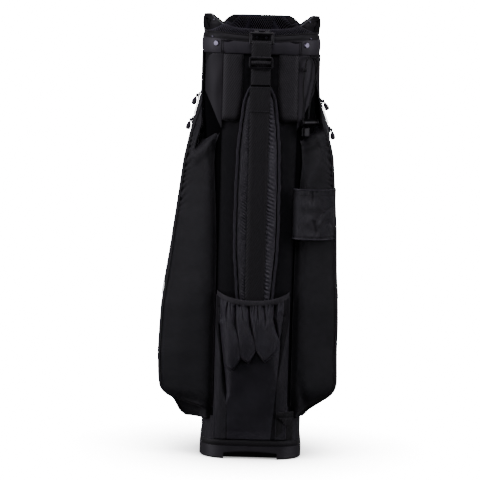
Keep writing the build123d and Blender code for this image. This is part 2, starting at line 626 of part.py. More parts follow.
def side_zip(name, low_section, high_section, side, y, shares):
    """A zip up the outer face of a side pocket, over a share of the run between two of its sections."""
    bottom = Vector(side * low_section[1], y, low_section[0])
    top = Vector(side * high_section[1], y, high_section[0])
    along = (top - bottom).normalized()
    outward = Vector(side * along.Z, 0, -side * along.X)
    middle = bottom + (top - bottom) * (sum(shares) / 2)
    length = (top - bottom).length * (shares[1] - shares[0])
    zip_set(name, tuple(middle), along, outward, length, length / 2 - 9)


GARMENT_SHARES, SHOE_SHARES = (0.03, 0.998), (0.06, 0.985)
side_zip("left_garment_zip", LEFT_POCKET[4], LEFT_POCKET[5], -1, 8, GARMENT_SHARES)
side_zip("left_shoe_zip", LEFT_POCKET[5], LEFT_POCKET[6], -1, -12, SHOE_SHARES)
side_zip("right_garment_zip", RIGHT_POCKET[4], RIGHT_POCKET[5], 1, 8, GARMENT_SHARES)
side_zip("right_shoe_zip", RIGHT_POCKET[5], RIGHT_POCKET[6], 1, -12, SHOE_SHARES)
FRONT_ZIPS = {
    "ball_zip": ("ball_pocket", 72),
    "cooler_zip": ("cooler_pocket", 66),
    "valuables_zip": ("valuables_pocket", 38),
}
for name, (pocket, rise) in FRONT_ZIPS.items():
    middle, width, height, front, taper = FRONT_POCKETS[pocket]
    zip_set(name, (0, front, middle + rise), (1, 0, 0), (0, 1, 0), width - 70, (width - 70) / 2 - 12)

with BuildPart() as zip_tapes:
    add(tapes)
write(zip_tapes.part, "zip_tapes")

# Umbrella cord: two strands from an eyelet on the yoke, through the cord lock, to an end bell
CORD_SLANT = 0.7
LEFT_STRAND = [(84.5, 770), (83, 742), (86.5, 700), (86.5, 660)]
RIGHT_STRAND = [
    (87, 778), (87, 793), (99, 800), (111, 793), (110.5, 773), (104, 740), (95.5, 700), (95.5, 660),
]


def on_cord_plane(x, z):
    """A point of the upright plane that the cord hangs in, which slants round the trunk's corner."""
    return Vector(x, -116 + (x - 84) * CORD_SLANT, z)


def strand(name, route):
    """A cord along straight runs, joined by arcs as large as the runs allow."""
    points = [on_cord_plane(x, z) for x, z in route]
    radii = []
    for before, here, after in zip(points, points[1:], points[2:]):
        turn = math.radians((here - before).get_angle(after - here))
        radii.append(0.45 * min((here - before).length, (after - here).length) / math.tan(turn / 2))
    with BuildPart() as cord:
        with BuildLine() as path:
            FilletPolyline(*points, radius=radii)
        with BuildSketch(Plane(origin=path.line @ 0, z_dir=path.line % 0)):
            Circle(CORD_RADIUS)
        sweep(path=path.line)
    length = sum(edge.length for edge in path.edges())
    plain = math.pi * CORD_RADIUS**2 * length
    print(name, "radii", [round(r) for r in radii], "length", round(length))
    print(name, "volume against section times length", round(cord.part.volume / plain, 4))
    write(cord.part, name)


strand("umbrella_cord_left", LEFT_STRAND)
strand("umbrella_cord_right", RIGHT_STRAND)

# Eyelet: a sewn block that both strands leave, one from its foot and one from its top
with BuildPart() as cord_eyelet:
    with Locations((86, -110, 774.1)):
        Box(9, 16, 7.8)
    fillet(cord_eyelet.edges().filter_by(Axis.Z), radius=2)
    add(trunk_clear, mode=Mode.SUBTRACT)
write(cord_eyelet.part, "cord_eyelet")

# Cord lock: a barrel that slides on both strands, with a push button in its end
LOCK_MIDDLE = on_cord_plane(LOCK_X, LOCK_Z)
LOCK_AXIS = (on_cord_plane(LOCK_X + 1, LOCK_Z) - LOCK_MIDDLE).normalized()
HOLE_RADIUS = CORD_RADIUS + 0.35
lock_plane = Plane(origin=LOCK_MIDDLE, x_dir=(0, 0, 1), z_dir=LOCK_AXIS)
with BuildPart() as cord_lock:
    with BuildSketch(lock_plane.offset(-10)):
        Circle(LOCK_RADIUS)
    extrude(amount=LOCK_LENGTH)
    fillet(cord_lock.edges(), radius=2)
    with BuildSketch(lock_plane.offset(9)):
        Circle(4.6)
    extrude(amount=20, mode=Mode.SUBTRACT)
    with BuildSketch(Plane.XY.offset(LOCK_Z - 20)):
        with Locations(*[tuple(on_cord_plane(x, 0))[:2] for x in (86.5, 95.5)]):
            Circle(HOLE_RADIUS)
    extrude(amount=40, mode=Mode.SUBTRACT)
write(cord_lock.part, "cord_lock")

with BuildPart() as lock_button:
    with BuildSketch(lock_plane.offset(14)):
        Circle(4.4)
    extrude(amount=11)
    with BuildSketch(lock_plane.offset(24.5)):
        Circle(5.8)
    extrude(amount=3)
    fillet(lock_button.faces().sort_by(Axis(LOCK_MIDDLE, LOCK_AXIS))[-1].edges(), radius=1.2)
write(lock_button.part, "lock_button")

with BuildPart() as cord_bell:
    with BuildSketch(Plane(origin=on_cord_plane(LOCK_X, 645), x_dir=LOCK_AXIS, z_dir=(0, 0, 1))):
        RectangleRounded(18, 9, 4)
    extrude(amount=15)
write(cord_bell.part, "cord_bell")
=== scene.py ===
# %% [markdown]
# # A black golf cart bag
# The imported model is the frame: every rigid piece already stands where it belongs, in metres, with +Z up
# and the strap side facing -Y. This lesson adds the soft goods and the finishes around it.

# %% Load the frame
import math

import bmesh
import bpy
import numpy as np
from mathutils import Matrix, Vector


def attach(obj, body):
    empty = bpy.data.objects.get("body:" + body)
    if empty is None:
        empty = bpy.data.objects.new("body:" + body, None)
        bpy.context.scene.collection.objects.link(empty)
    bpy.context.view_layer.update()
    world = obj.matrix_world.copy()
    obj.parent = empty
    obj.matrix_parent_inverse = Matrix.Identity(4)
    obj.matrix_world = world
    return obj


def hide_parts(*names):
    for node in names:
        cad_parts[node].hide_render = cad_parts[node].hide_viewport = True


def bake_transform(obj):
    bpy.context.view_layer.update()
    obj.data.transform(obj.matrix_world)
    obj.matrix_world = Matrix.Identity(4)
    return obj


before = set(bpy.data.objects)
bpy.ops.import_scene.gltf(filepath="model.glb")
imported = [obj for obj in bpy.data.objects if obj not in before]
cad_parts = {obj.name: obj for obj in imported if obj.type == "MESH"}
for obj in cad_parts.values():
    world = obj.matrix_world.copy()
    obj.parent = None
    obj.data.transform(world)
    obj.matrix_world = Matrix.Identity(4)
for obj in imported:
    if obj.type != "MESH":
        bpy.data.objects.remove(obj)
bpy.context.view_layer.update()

# %% [markdown]
# ## Camera
# The bag was photographed from a little above its middle with a long lens, so upright edges stay almost
# parallel. It leans by a degree and a half in the picture. Tilting the bag would repeat that too, but its
# frame stands upright, so the camera is rolled instead.

# %% Camera
CAMERA_PLACE = (-0.03145, -6.0, 1.08)
CAMERA_PITCH, CAMERA_ROLL, CAMERA_LENS = 6.235, 1.6, 226.28
camera = bpy.data.objects.new("Camera", bpy.data.cameras.new("Camera"))
camera.data.sensor_width = 36.0
camera.data.lens = CAMERA_LENS
camera.data.clip_end = 200.0
camera.matrix_world = (
    Matrix.Translation(CAMERA_PLACE)
    @ Matrix.Rotation(math.radians(90 - CAMERA_PITCH), 4, "X")
    @ Matrix.Rotation(math.radians(CAMERA_ROLL), 4, "Z")
)
bpy.context.collection.objects.link(camera)
bpy.context.scene.camera = camera
print("camera", [round(c, 3) for c in camera.matrix_world.translation])

# %% [markdown]
# ## Shader maths
# A material here is a small network of nodes. The nodes could be made and linked one by one, but a recipe
# is easier to read as a Python expression: `Value` wraps a socket and turns operators into Math nodes, and
# `Finish` starts a material with a Principled shader and adds any other node by name.

# %% Value and Finish
class Value:
    """A float socket that can be used in arithmetic."""

    def __init__(self, tree, socket):
        self.tree, self.socket = tree, socket

    def math(self, operation, *terms):
        node = self.tree.nodes.new("ShaderNodeMath")
        node.operation = operation
        for slot, term in zip(node.inputs, terms):
            plug(self.tree, slot, term)
        return Value(self.tree, node.outputs[0])

    def __add__(self, other): return self.math("ADD", self, other)
    def __radd__(self, other): return self.math("ADD", other, self)
    def __sub__(self, other): return self.math("SUBTRACT", self, other)
    def __rsub__(self, other): return self.math("SUBTRACT", other, self)
    def __mul__(self, other): return self.math("MULTIPLY", self, other)
    def __rmul__(self, other): return self.math("MULTIPLY", other, self)
    def sin(self): return self.math("SINE", self)
    def abs(self): return self.math("ABSOLUTE", self)


def plug(tree, slot, term):
    """Links a Value to a socket, or sets the socket to a plain number or colour."""
    if isinstance(term, Value):
        tree.links.new(term.socket, slot)
    else:
        slot.default_value = term


class Finish:
    """A material with a Principled shader, and one method that adds any other node."""

    def __init__(self, name, **plain):
        self.material = bpy.data.materials.new(name)
        self.material.use_nodes = True
        self.tree = self.material.node_tree
        self.shader = self.tree.nodes["Principled BSDF"]
        for socket, number in plain.items():
            self.shader.inputs[socket.replace("_", " ")].default_value = number

    def node(self, kind, settings=None, sockets=None, out=0):
        node = self.tree.nodes.new("ShaderNode" + kind)
        for key, setting in (settings or {}).items():
            setattr(node, key, setting)
        for key, term in (sockets or {}).items():
            plug(self.tree, node.inputs[key], term)
        return Value(self.tree, node.outputs[out])

    def feed(self, **sockets):
        for key, term in sockets.items():
            plug(self.tree, self.shader.inputs[key.replace("_", " ")], term)

    def uv(self):
        """The across and along distances of a surface, in metres."""
        split = self.node("SeparateXYZ", sockets={"Vector": self.node("UVMap", {"uv_map": "metres"})})
        return split, Value(self.tree, split.socket.node.outputs[1])

    def place(self):
        """The point in the bag's own frame, in metres."""
        return self.node("TexCoord", out=3)

    def noise(self, scale, detail=3.0):
        return self.node("TexNoise", sockets={"Vector": self.place(), "Scale": scale, "Detail": detail})

    def blend(self, dark, light, factor):
        mix = self.node("Mix", {"data_type": "RGBA"}, {"Factor": factor}, out=2)
        mix.socket.node.inputs[6].default_value = (*dark, 1)
        mix.socket.node.inputs[7].default_value = (*light, 1)
        return mix

    def raise_by(self, height, distance, strength=1.0):
        bump = self.node("Bump", sockets={"Height": height, "Distance": distance, "Strength": strength})
        self.feed(Normal=bump)


def black(level, blue=1.25):
    """Black dye of one linear level. Dyed cloth leans to violet, and blue says how far."""
    return (level * 1.04, level * 0.97, level * blue)


# %% [markdown]
# ## Fabrics
# Everything on the bag is black, so the pieces are told apart by how they catch light: a coated nylon
# shell, thick webbing, open mesh. A weave could be a picture laid over the cloth. Here it is made from sine
# waves over the surface's own distances in metres, so that threads keep their real size on every panel.

# %% Woven finishes
def weave(across, along, pitch):
    """Height of a plain weave, 0 to 1, with that thread pitch in metres."""
    turn = 2 * math.pi / pitch
    return (across * turn).sin() * (along * turn).sin() * 0.5 + 0.5


def nylon(name, level, pitch, rough, sheen=0.04, shine=0.25):
    finish = Finish(name, Sheen_Weight=sheen, Sheen_Roughness=0.4, Specular_IOR_Level=shine)
    across, along = finish.uv()
    threads = weave(across, along, pitch)
    clouds = finish.noise(14.0)
    finish.feed(
        Base_Color=finish.blend(black(level * 0.75), black(level * 1.3), clouds * 0.6 + threads * 0.4),
        Roughness=clouds * 0.16 + (rough - 0.08),
    )
    finish.raise_by(threads, 0.00022)
    return finish.material


shell_fabric = nylon("shell fabric", 0.0042, 0.0011, 0.56)
# The trunk's nylon is a darker copy of the shell nylon, painted shade.
trunk_nylon_painted_shade = nylon("trunk fabric", 0.0032, 0.0011, 0.62, sheen=0.02, shine=0.15)
thin_nylon = nylon("thin nylon", 0.0150, 0.0008, 0.42)
skirt_nylon = nylon("skirt nylon", 0.0095, 0.0008, 0.50)
sleeve_nylon = nylon("sleeve nylon", 0.0080, 0.0008, 0.42)
# The pad's two gathers are copies of one nylon: the lighter right one is painted light, the darker left one
# painted shade.
gather_painted_light = nylon("gathered nylon", 0.0165, 0.0008, 0.36, shine=0.35)
gather_painted_shade = nylon("gathered nylon painted shade", 0.0100, 0.0008, 0.42)
lining_fabric = nylon("lining", 0.003, 0.0010, 0.7, sheen=0.02)
# Near-black. The rim's core and the corner piping wear it as their own colour, and a sheet and a line laid where
# only shade falls wear it as painted shade.
deep_black_and_painted_shade = nylon("deep black and painted shade", 0.0008, 0.0010, 0.9, sheen=0.0, shine=0.05)
bar_fabric = nylon("divider fabric", 0.0110, 0.0011, 0.9, sheen=0.0, shine=0.0)


def ribbed_webbing(name, level, pitch):
    """Webbing: a diagonal twill whose ribs catch light on one flank."""
    finish = Finish(name, Sheen_Weight=0.06, Sheen_Roughness=0.35, Specular_IOR_Level=0.25)
    across, along = finish.uv()
    turn = 2 * math.pi / pitch
    twill = ((across + along * 0.6) * turn).sin() * 0.5 + 0.5
    cross = (along * (turn * 1.3)).sin() * 0.25 + 0.5
    ribs = twill * 0.7 + cross * 0.3
    fuzz = finish.noise(900.0, 2.0)
    finish.feed(
        Base_Color=finish.blend(black(level * 0.25, 1.1), black(level * 2.2, 1.1), ribs * 0.7 + fuzz * 0.3),
        Roughness=0.72 - ribs * 0.15,
    )
    finish.raise_by(ribs + fuzz * 0.3, 0.0005)
    return finish.material


webbing_finish = ribbed_webbing("webbing", 0.0042, 0.0046)
tab_finish = ribbed_webbing("tab webbing", 0.0016, 0.0024)
canvas_finish = ribbed_webbing("strip canvas", 0.0090, 0.0044)
elastic_finish = ribbed_webbing("mouth elastic", 0.0135, 0.0020)


def spacer_mesh(name, level, pitch):
    """Spacer mesh: rows of small dark eyes in a springy knit."""
    finish = Finish(name, Sheen_Weight=0.06, Specular_IOR_Level=0.2)
    across, along = finish.uv()
    turn = 2 * math.pi / pitch
    knit = (across * turn).sin() * (along * turn).sin()
    eyes = finish.node("MapRange", sockets={"Value": knit.abs(), "From Min": 0.25, "From Max": 0.7})
    finish.feed(
        Base_Color=finish.blend(black(level * 1.6), black(level * 0.3), eyes),
        Roughness=0.78 + eyes * 0.1,
    )
    finish.raise_by(1 - eyes, 0.0009)
    return finish.material


border_mesh = spacer_mesh("border mesh", 0.016, 0.0046)
net_finish = spacer_mesh("rim net", 0.020, 0.0046)
print("woven finishes", [m.name for m in bpy.data.materials])

# %% [markdown]
# ## Trims, plastics and metals
# The cuff and handles are moulded plastic, the base a greyer satin one, and smooth coated trim covers the
# yoke. Plain colours would look computer-clean, so one recipe adds a little mottle to colour and roughness
# and fine pores as bump. The cord's braid is two sets of crossing waves.

# %% Smooth finishes
def moulded(name, level, rough, grain, shine=0.4):
    finish = Finish(name, Specular_IOR_Level=shine)
    mottle = finish.noise(38.0)
    pores = finish.noise(grain, 2.0)
    finish.feed(
        Base_Color=finish.blend(black(level * 0.8, 1.12), black(level * 1.25, 1.12), mottle),
        Roughness=mottle * 0.14 + (rough - 0.07),
    )
    finish.raise_by(pores, 0.0002, 0.5)
    return finish.material


cuff_plastic = moulded("cuff plastic", 0.006, 0.36, 700.0, shine=0.25)
handle_plastic = moulded("handle plastic", 0.005, 0.50, 700.0, shine=0.08)
base_plastic = moulded("base plastic", 0.016, 0.45, 1100.0)
lock_plastic = moulded("lock plastic", 0.0015, 0.34, 400.0, shine=0.10)
ring_coating = moulded("ring coating", 0.003, 0.38, 900.0, shine=0.25)
pull_rubber = moulded("pull rubber", 0.030, 0.60, 1500.0, shine=0.2)
coated_trim = moulded("coated trim", 0.026, 0.55, 1300.0, shine=0.15)
corner_trim = moulded("corner trim", 0.0108, 0.60, 1300.0, shine=0.15)
# A lighter copy of the corner trim, painted light for the right side.
corner_trim_painted_light = moulded("corner trim painted light", 0.0180, 0.60, 1300.0, shine=0.15)
binding_finish = moulded("binding", 0.0045, 0.62, 1700.0, shine=0.2)


def metal(name, level, rough):
    finish = Finish(name, Metallic=1.0)
    scuffs = finish.noise(160.0, 4.0)
    finish.feed(
        Base_Color=finish.blend(black(level * 0.85), black(level), scuffs),
        Roughness=scuffs * 0.15 + (rough - 0.07),
    )
    return finish.material


bright_metal = metal("bright stud", 0.09, 0.34)
dark_metal = metal("dark metal", 0.10, 0.34)
stay_metal = metal("stay tube", 0.5, 0.4)


def braid(name, level):
    """A braided elastic cord: two sets of strands that cross along its length."""
    turn = 3000.0
    finish = Finish(name, Sheen_Weight=0.03, Specular_IOR_Level=0.2)
    split = finish.node("SeparateXYZ", sockets={"Vector": finish.place()})
    x, z = split, Value(finish.tree, split.socket.node.outputs[2])
    strands = ((z + x) * turn).sin() * ((z - x) * turn).sin() * 0.5 + 0.5
    finish.feed(
        Base_Color=finish.blend(black(level * 0.5), black(level * 1.8), strands),
        Roughness=0.62 - strands * 0.1,
    )
    finish.raise_by(strands, 0.0004)
    return finish.material


cord_finish = braid("cord braid", 0.0012)
print("smooth finishes", cuff_plastic.name, base_plastic.name, cord_finish.name)

# %% [markdown]
# ## Adding pieces
# Every drawn piece is an object with a finish and a body to ride on. One helper does both, so that no step is
# forgotten. Cords and piping are round, and a bevelled curve makes them with far fewer points than a mesh would
# need.

# %% Adding pieces
SIDES = ((-1, "left"), (1, "right"))


def full_turn(count):
    """Angles once round, without the last one, which would repeat the first."""
    return np.linspace(0, 2 * math.pi, count, endpoint=False)


def add_piece(name, data, finish, body, thickness=0.0):
    """An object in its finish, riding on its body. Cloth that bends across a joint has no one body."""
    data.materials.append(finish)
    piece = bpy.data.objects.new(name, data)
    bpy.context.collection.objects.link(piece)
    if thickness:
        shell = piece.modifiers.new("thickness", "SOLIDIFY")
        shell.thickness, shell.offset = thickness, -1.0
    if body:
        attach(piece, body)
    return piece


def tube(name, path, radius, finish, body="bag", closed=False, smooth=False):
    """Piping or a seam along a path of points, or a smooth NURBS cord."""
    data = bpy.data.curves.new(name, "CURVE")
    data.dimensions = "3D"
    data.bevel_depth, data.bevel_resolution = radius, 4 if smooth else 2
    spline = data.splines.new("NURBS" if smooth else "POLY")
    spline.points.add(len(path) - 1)
    spline.points.foreach_set("co", np.column_stack([path, np.ones(len(path))]).ravel())
    spline.use_cyclic_u = closed
    if smooth:
        spline.order_u = 3
        spline.use_endpoint_u = True
        spline.resolution_u = 12
    return add_piece(name, data, finish, body)


print("sides", [word for _, word in SIDES])

# %% [markdown]
# ## Umbrella cord
# An elastic cord leaves a sewn eyelet, loops round the trunk's corner and runs down through a cord lock
# to its end bell. A rope simulation would find its own hang, but the photo shows the way it lies, so each
# strand is a smooth NURBS curve on the route's own points.

# %% Umbrella cord
CORD_DIAMETER = 0.0034
CORD_SLANT = 0.7
LEFT_STRAND = [(0.0845, 0.770), (0.083, 0.742), (0.0865, 0.700), (0.0865, 0.660)]
RIGHT_STRAND = [
    (0.087, 0.778), (0.087, 0.793), (0.099, 0.800), (0.111, 0.793), (0.1105, 0.773), (0.104, 0.740),
    (0.0955, 0.700), (0.0955, 0.660),
]


def on_cord_plane(x, z):
    """The cord hangs in an upright plane that slants round the trunk's corner."""
    return (x, -0.116 + (x - 0.084) * CORD_SLANT, z)


def umbrella_strand(name, route, node):
    path = [on_cord_plane(x, z) for x, z in route]
    cord = tube(name, path, CORD_DIAMETER / 2, cord_finish, smooth=True)
    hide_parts(node)


umbrella_strand("cord_strand_left", LEFT_STRAND, "umbrella_cord_left")
umbrella_strand("cord_strand_right", RIGHT_STRAND, "umbrella_cord_right")
print("cord strands", len(LEFT_STRAND), len(RIGHT_STRAND))

# %% [markdown]
# ## Building soft surfaces
# Panels, pads and pockets are all grids of points. Sculpting or a cloth simulation could shape them too, but
# a grid can be worked out from tables and gives the same cloth on every run. `grid_piece` turns an array of
# points into a smooth mesh with a UV map in metres, so that weaves keep their size. `folds` is a repeatable
# ripple made of sine waves in seeded directions, which stands for creases in cloth.

# %% Grid helper
def grid_piece(name, points, finish, body="bag", slot="shell_fabric", wrap=False, thickness=0.0, replaces=()):
    """A mesh through points[row][column]; wrap joins the last column to the first."""
    rows, columns = points.shape[:2]
    across = np.zeros((rows, columns + 1))
    ring = np.concatenate([points, points[:, :1]], axis=1)
    across[:, 1:] = np.cumsum(np.linalg.norm(np.diff(ring, axis=1), axis=2), axis=1)
    across = np.broadcast_to(across.mean(axis=0), across.shape)
    steps = np.linalg.norm(np.diff(points, axis=0), axis=2).mean(axis=1)
    along = np.concatenate([[0.0], np.cumsum(steps)])
    faces, uvs = [], []
    for r in range(rows - 1):
        for c in range(columns if wrap else columns - 1):
            n = (c + 1) % columns
            faces.append((r * columns + c, r * columns + n, (r + 1) * columns + n, (r + 1) * columns + c))
            uvs += [(across[r, c], along[r]), (across[r, c + 1], along[r])]
            uvs += [(across[r, c + 1], along[r + 1]), (across[r, c], along[r + 1])]
    mesh = bpy.data.meshes.new(name)
    mesh.from_pydata(points.reshape(-1, 3).tolist(), [], faces)
    layer = mesh.uv_layers.new(name="metres")
    layer.data.foreach_set("uv", np.array(uvs, dtype=np.float32).ravel())
    mesh.polygons.foreach_set("use_smooth", [True] * len(faces))
    piece = add_piece(name, mesh, finish, body, thickness)
    if replaces:
        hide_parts(*replaces)
    return piece


def folds(points, size, seed):
    """A ripple from about -1 to 1 over points, with folds of about that size in metres."""
    count = 6
    chance = np.random.default_rng(seed)
    total = np.zeros(points.shape[:-1])
    for _ in range(count):
        way = chance.normal(size=3)
        way *= 2 * math.pi / (size * chance.uniform(0.7, 1.6)) / np.linalg.norm(way)
        total += np.sin(points @ way + chance.uniform(0, 6.28))
    return total / count**0.5 / 1.6


def near_line(x, z, run, width, ends=(1, 1), power=2):
    """1 on a run of (x, z) points, fading over that width.

    ends scale it at the run's two ends, and a low power makes it a crease.
    """
    nearest = np.full(np.broadcast(x, z).shape, np.inf)
    place = np.zeros(nearest.shape)
    for number, ((x0, z0), (x1, z1)) in enumerate(zip(run, run[1:])):
        along = (x - x0) * (x1 - x0) + (z - z0) * (z1 - z0)
        share = np.clip(along / ((x1 - x0) ** 2 + (z1 - z0) ** 2), 0, 1)
        gap = np.hypot(x - x0 - share * (x1 - x0), z - z0 - share * (z1 - z0))
        place = np.where(gap < nearest, (number + share) / (len(run) - 1), place)
        nearest = np.minimum(nearest, gap)
    scale = np.interp(place, [0, 0.4, 0.6, 1], [ends[0], 1, 1, ends[1]]) + 1e-4
    return scale * np.exp(-((nearest / (width * scale**0.5)) ** power))


def smooth_step(low, high, value):
    """0 at low and 1 at high, with eased ends. low may be the larger."""
    share = np.clip((value - low) / (high - low), 0, 1)
    return share * share * (3 - 2 * share)


def rounded(control):
    """Cuts the corners of each row of control points three times, which leaves a smooth curve."""
    for _ in range(3):
        near = control[:, :-1] * 0.75 + control[:, 1:] * 0.25
        far = control[:, :-1] * 0.25 + control[:, 1:] * 0.75
        middle = np.stack([near, far], axis=2).reshape(control.shape[0], -1, 3)
        control = np.concatenate([control[:, :1], middle, control[:, -1:]], axis=1)
    return control


def rivet(name, place, out, radius):
    """A low dome at a place, with out the way it faces."""
    out = np.array(out) / np.linalg.norm(out)
    across = np.cross(out, [0, 0, 1.0])
    across /= np.linalg.norm(across)
    turn, share = np.meshgrid(full_turn(24), np.linspace(0, 1, 8))
    flat = radius * np.cos(share * math.pi / 2 * 0.98)[..., None]
    dome = flat * (np.cos(turn)[..., None] * across + np.sin(turn)[..., None] * np.cross(across, out))
    dome = np.array(place) + dome + (0.55 * radius * np.sin(share * math.pi / 2))[..., None] * out
    return grid_piece(name, dome, bright_metal, slot="bright_metal", wrap=True)


def upright_grid(rows, columns):
    """Two grids, of z and of a place across. rows and columns are (first, last, count)."""
    return np.meshgrid(np.linspace(*rows), np.linspace(*columns), indexing="ij")


print("cloth helpers", grid_piece.__name__, folds.__name__)

# %% [markdown]
# ## Trunk
# The trunk is a stiff sewn tube, nearly square with round corners, and a little wider at the top. A bevelled
# box would do, but rings of points on a superellipse also say where its surface is, so that strips, pockets
# and panels can be laid on it. Solidify gives the cloth its thickness, which shows in the club wells.

# %% Trunk
TRUNK_LOW, TRUNK_HIGH = 0.026, 0.820
CORNER_POWER = 4.3
SKIRT_HEIGHT = 0.102


def trunk_half(z):
    """Half the trunk's width and depth at a height."""
    share = (np.asarray(z) - TRUNK_LOW) / (TRUNK_HIGH - TRUNK_LOW)
    return 0.098 + 0.015 * share, 0.106 + 0.006 * share


def ring_points(angle, half_width, half_depth, power=CORNER_POWER):
    """Points of a superellipse at these angles."""
    reach = (np.abs(np.cos(angle)) / half_width) ** power + (np.abs(np.sin(angle)) / half_depth) ** power
    reach = reach ** (-1 / power)
    return reach * np.cos(angle), reach * np.sin(angle)


def trunk_ring(z, angle, gap=0.0):
    """Points on the trunk's outside, grown by gap. z and angle are arrays of one shape."""
    half_width, half_depth = trunk_half(z)
    x, y = ring_points(angle, half_width + gap, half_depth + gap)
    return np.stack([x, y, z], axis=-1)


def trunk_rear(x, z, gap=0.0):
    """The point of the trunk's back above a given x and z."""
    half_width, half_depth = trunk_half(z)
    share = np.clip(np.abs(x) / (half_width + gap), 0, 0.999)
    y = -(half_depth + gap) * (1 - share**CORNER_POWER) ** (1 / CORNER_POWER)
    return np.stack([np.broadcast_to(x, y.shape), y, np.broadcast_to(z, y.shape)], axis=-1)


angle, height = np.meshgrid(full_turn(144), np.linspace(TRUNK_LOW, TRUNK_HIGH, 120))
trunk_points = trunk_ring(height, angle)
trunk_points[..., :2] *= (1 + 0.004 * folds(trunk_points, 0.09, 3))[..., None]
# Above its lighter skirt the trunk wears the darker copy of the shell nylon, as painted shade.
trunk = grid_piece(
    "trunk_shell", trunk_points, trunk_nylon_painted_shade, wrap=True, thickness=0.004,
    replaces=("trunk_back_panel", "trunk_front_panel", "trunk_left_panel", "trunk_right_panel"),
)
trunk.data.materials.append(skirt_nylon)
trunk.data.polygons.foreach_set("material_index", (height[:-1] < SKIRT_HEIGHT).ravel().astype(np.int32))
print("trunk", len(trunk.data.vertices), "points")

# %% [markdown]
# ## Rigid pieces from the frame
# Moulded and metal parts keep their own solids. They could be drawn again, but their sizes are already
# exact. A small bevel rounds the edges, because a real moulding never has a knife edge.

# %% Rigid finishes
RIGID = {
    "base_foot": (base_plastic, 0.0022), "cuff_ring": (handle_plastic, 0.0012), "stay_rods": (stay_metal, 0),
    "snap_studs": (bright_metal, 0.0006), "strap_ring": (ring_coating, 0), "ring_keeper": (cuff_plastic, 0.0006),
    "keeper_rivets": (dark_metal, 0.0003), "strap_buckle": (cuff_plastic, 0), "cord_lock": (lock_plastic, 0),
    "lock_button": (lock_plastic, 0), "cord_bell": (lock_plastic, 0.0015),
    "front_lift_handle": (cuff_plastic, 0.003),
}
ZIPS = [
    "left_garment_zip", "left_shoe_zip", "right_garment_zip", "right_shoe_zip", "ball_zip", "cooler_zip",
    "valuables_zip",
]
for zip_name in ZIPS:
    RIGID[zip_name + "_slider"] = (dark_metal, 0.0005)
    RIGID[zip_name + "_pull"] = (pull_rubber, 0.0006)
for node_name, (finish, edge) in RIGID.items():
    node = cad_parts[node_name]
    node.data.materials.clear()
    node.data.materials.append(finish)
    if edge:
        bevel = node.modifiers.new("soft edge", "BEVEL")
        bevel.width, bevel.segments, bevel.limit_method = edge, 3, "ANGLE"
print("rigid pieces", len(RIGID))

# %% [markdown]
# ## Strap pad
# The carrying strap ends in a long shaped pad. Its core is a stack of flat rounded sections whose width follows a
# table of heights. The pad crosses the strap's fold, where two stiff halves would open like a hinge, so the pad
# and its layers ride on neither of the strap's two bodies.

# %% Strap pad
PAD_HEIGHTS = [0.252, 0.262, 0.290, 0.326, 0.418, 0.470, 0.545, 0.615, 0.660, 0.713, 0.733, 0.742]
PAD_HALVES = [0.012, 0.023, 0.031, 0.0375, 0.0448, 0.0455, 0.0450, 0.0432, 0.0396, 0.0325, 0.025, 0.0195]
PAD_BACK, PAD_FRONT = -0.1128, -0.1252
GROOVE, EDGE_ROLL = 0.0032, 0.0027


def strap_piece(piece):
    """Bakes the placement of strap cloth, which rides on neither of the strap's halves, into its points."""
    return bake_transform(piece)


rows = np.linspace(PAD_HEIGHTS[0], PAD_HEIGHTS[-1], 150)
pad_half = np.interp(rows, PAD_HEIGHTS, PAD_HALVES)
core_front = PAD_FRONT + GROOVE
pad_x, pad_y = ring_points(full_turn(48)[None, :], pad_half[:, None] - 0.0008, (PAD_BACK - core_front) / 2, 3.2)
pad_y = pad_y + (PAD_BACK + core_front) / 2
pad_points = np.stack([pad_x, pad_y, np.repeat(rows[:, None], 48, axis=1)], axis=-1)
pad = grid_piece(
    "strap_pad", pad_points, lining_fabric, body=None, slot="pad_fabric", wrap=True,
    replaces=("strap_pad_upper", "strap_pad_lower"),
)
strap_piece(pad)
print("strap pad rows", len(rows))

# %% [markdown]
# ## Pad edges and gathers
# A rolled border of spacer mesh edges the pad, and inside a groove a layer of thin nylon is gathered on each
# side of the webbing. Bump alone would leave the pleats flat at the outline, so they are moved points: a wave
# that slants up the pad, with sharp valleys where the cloth is sewn down.

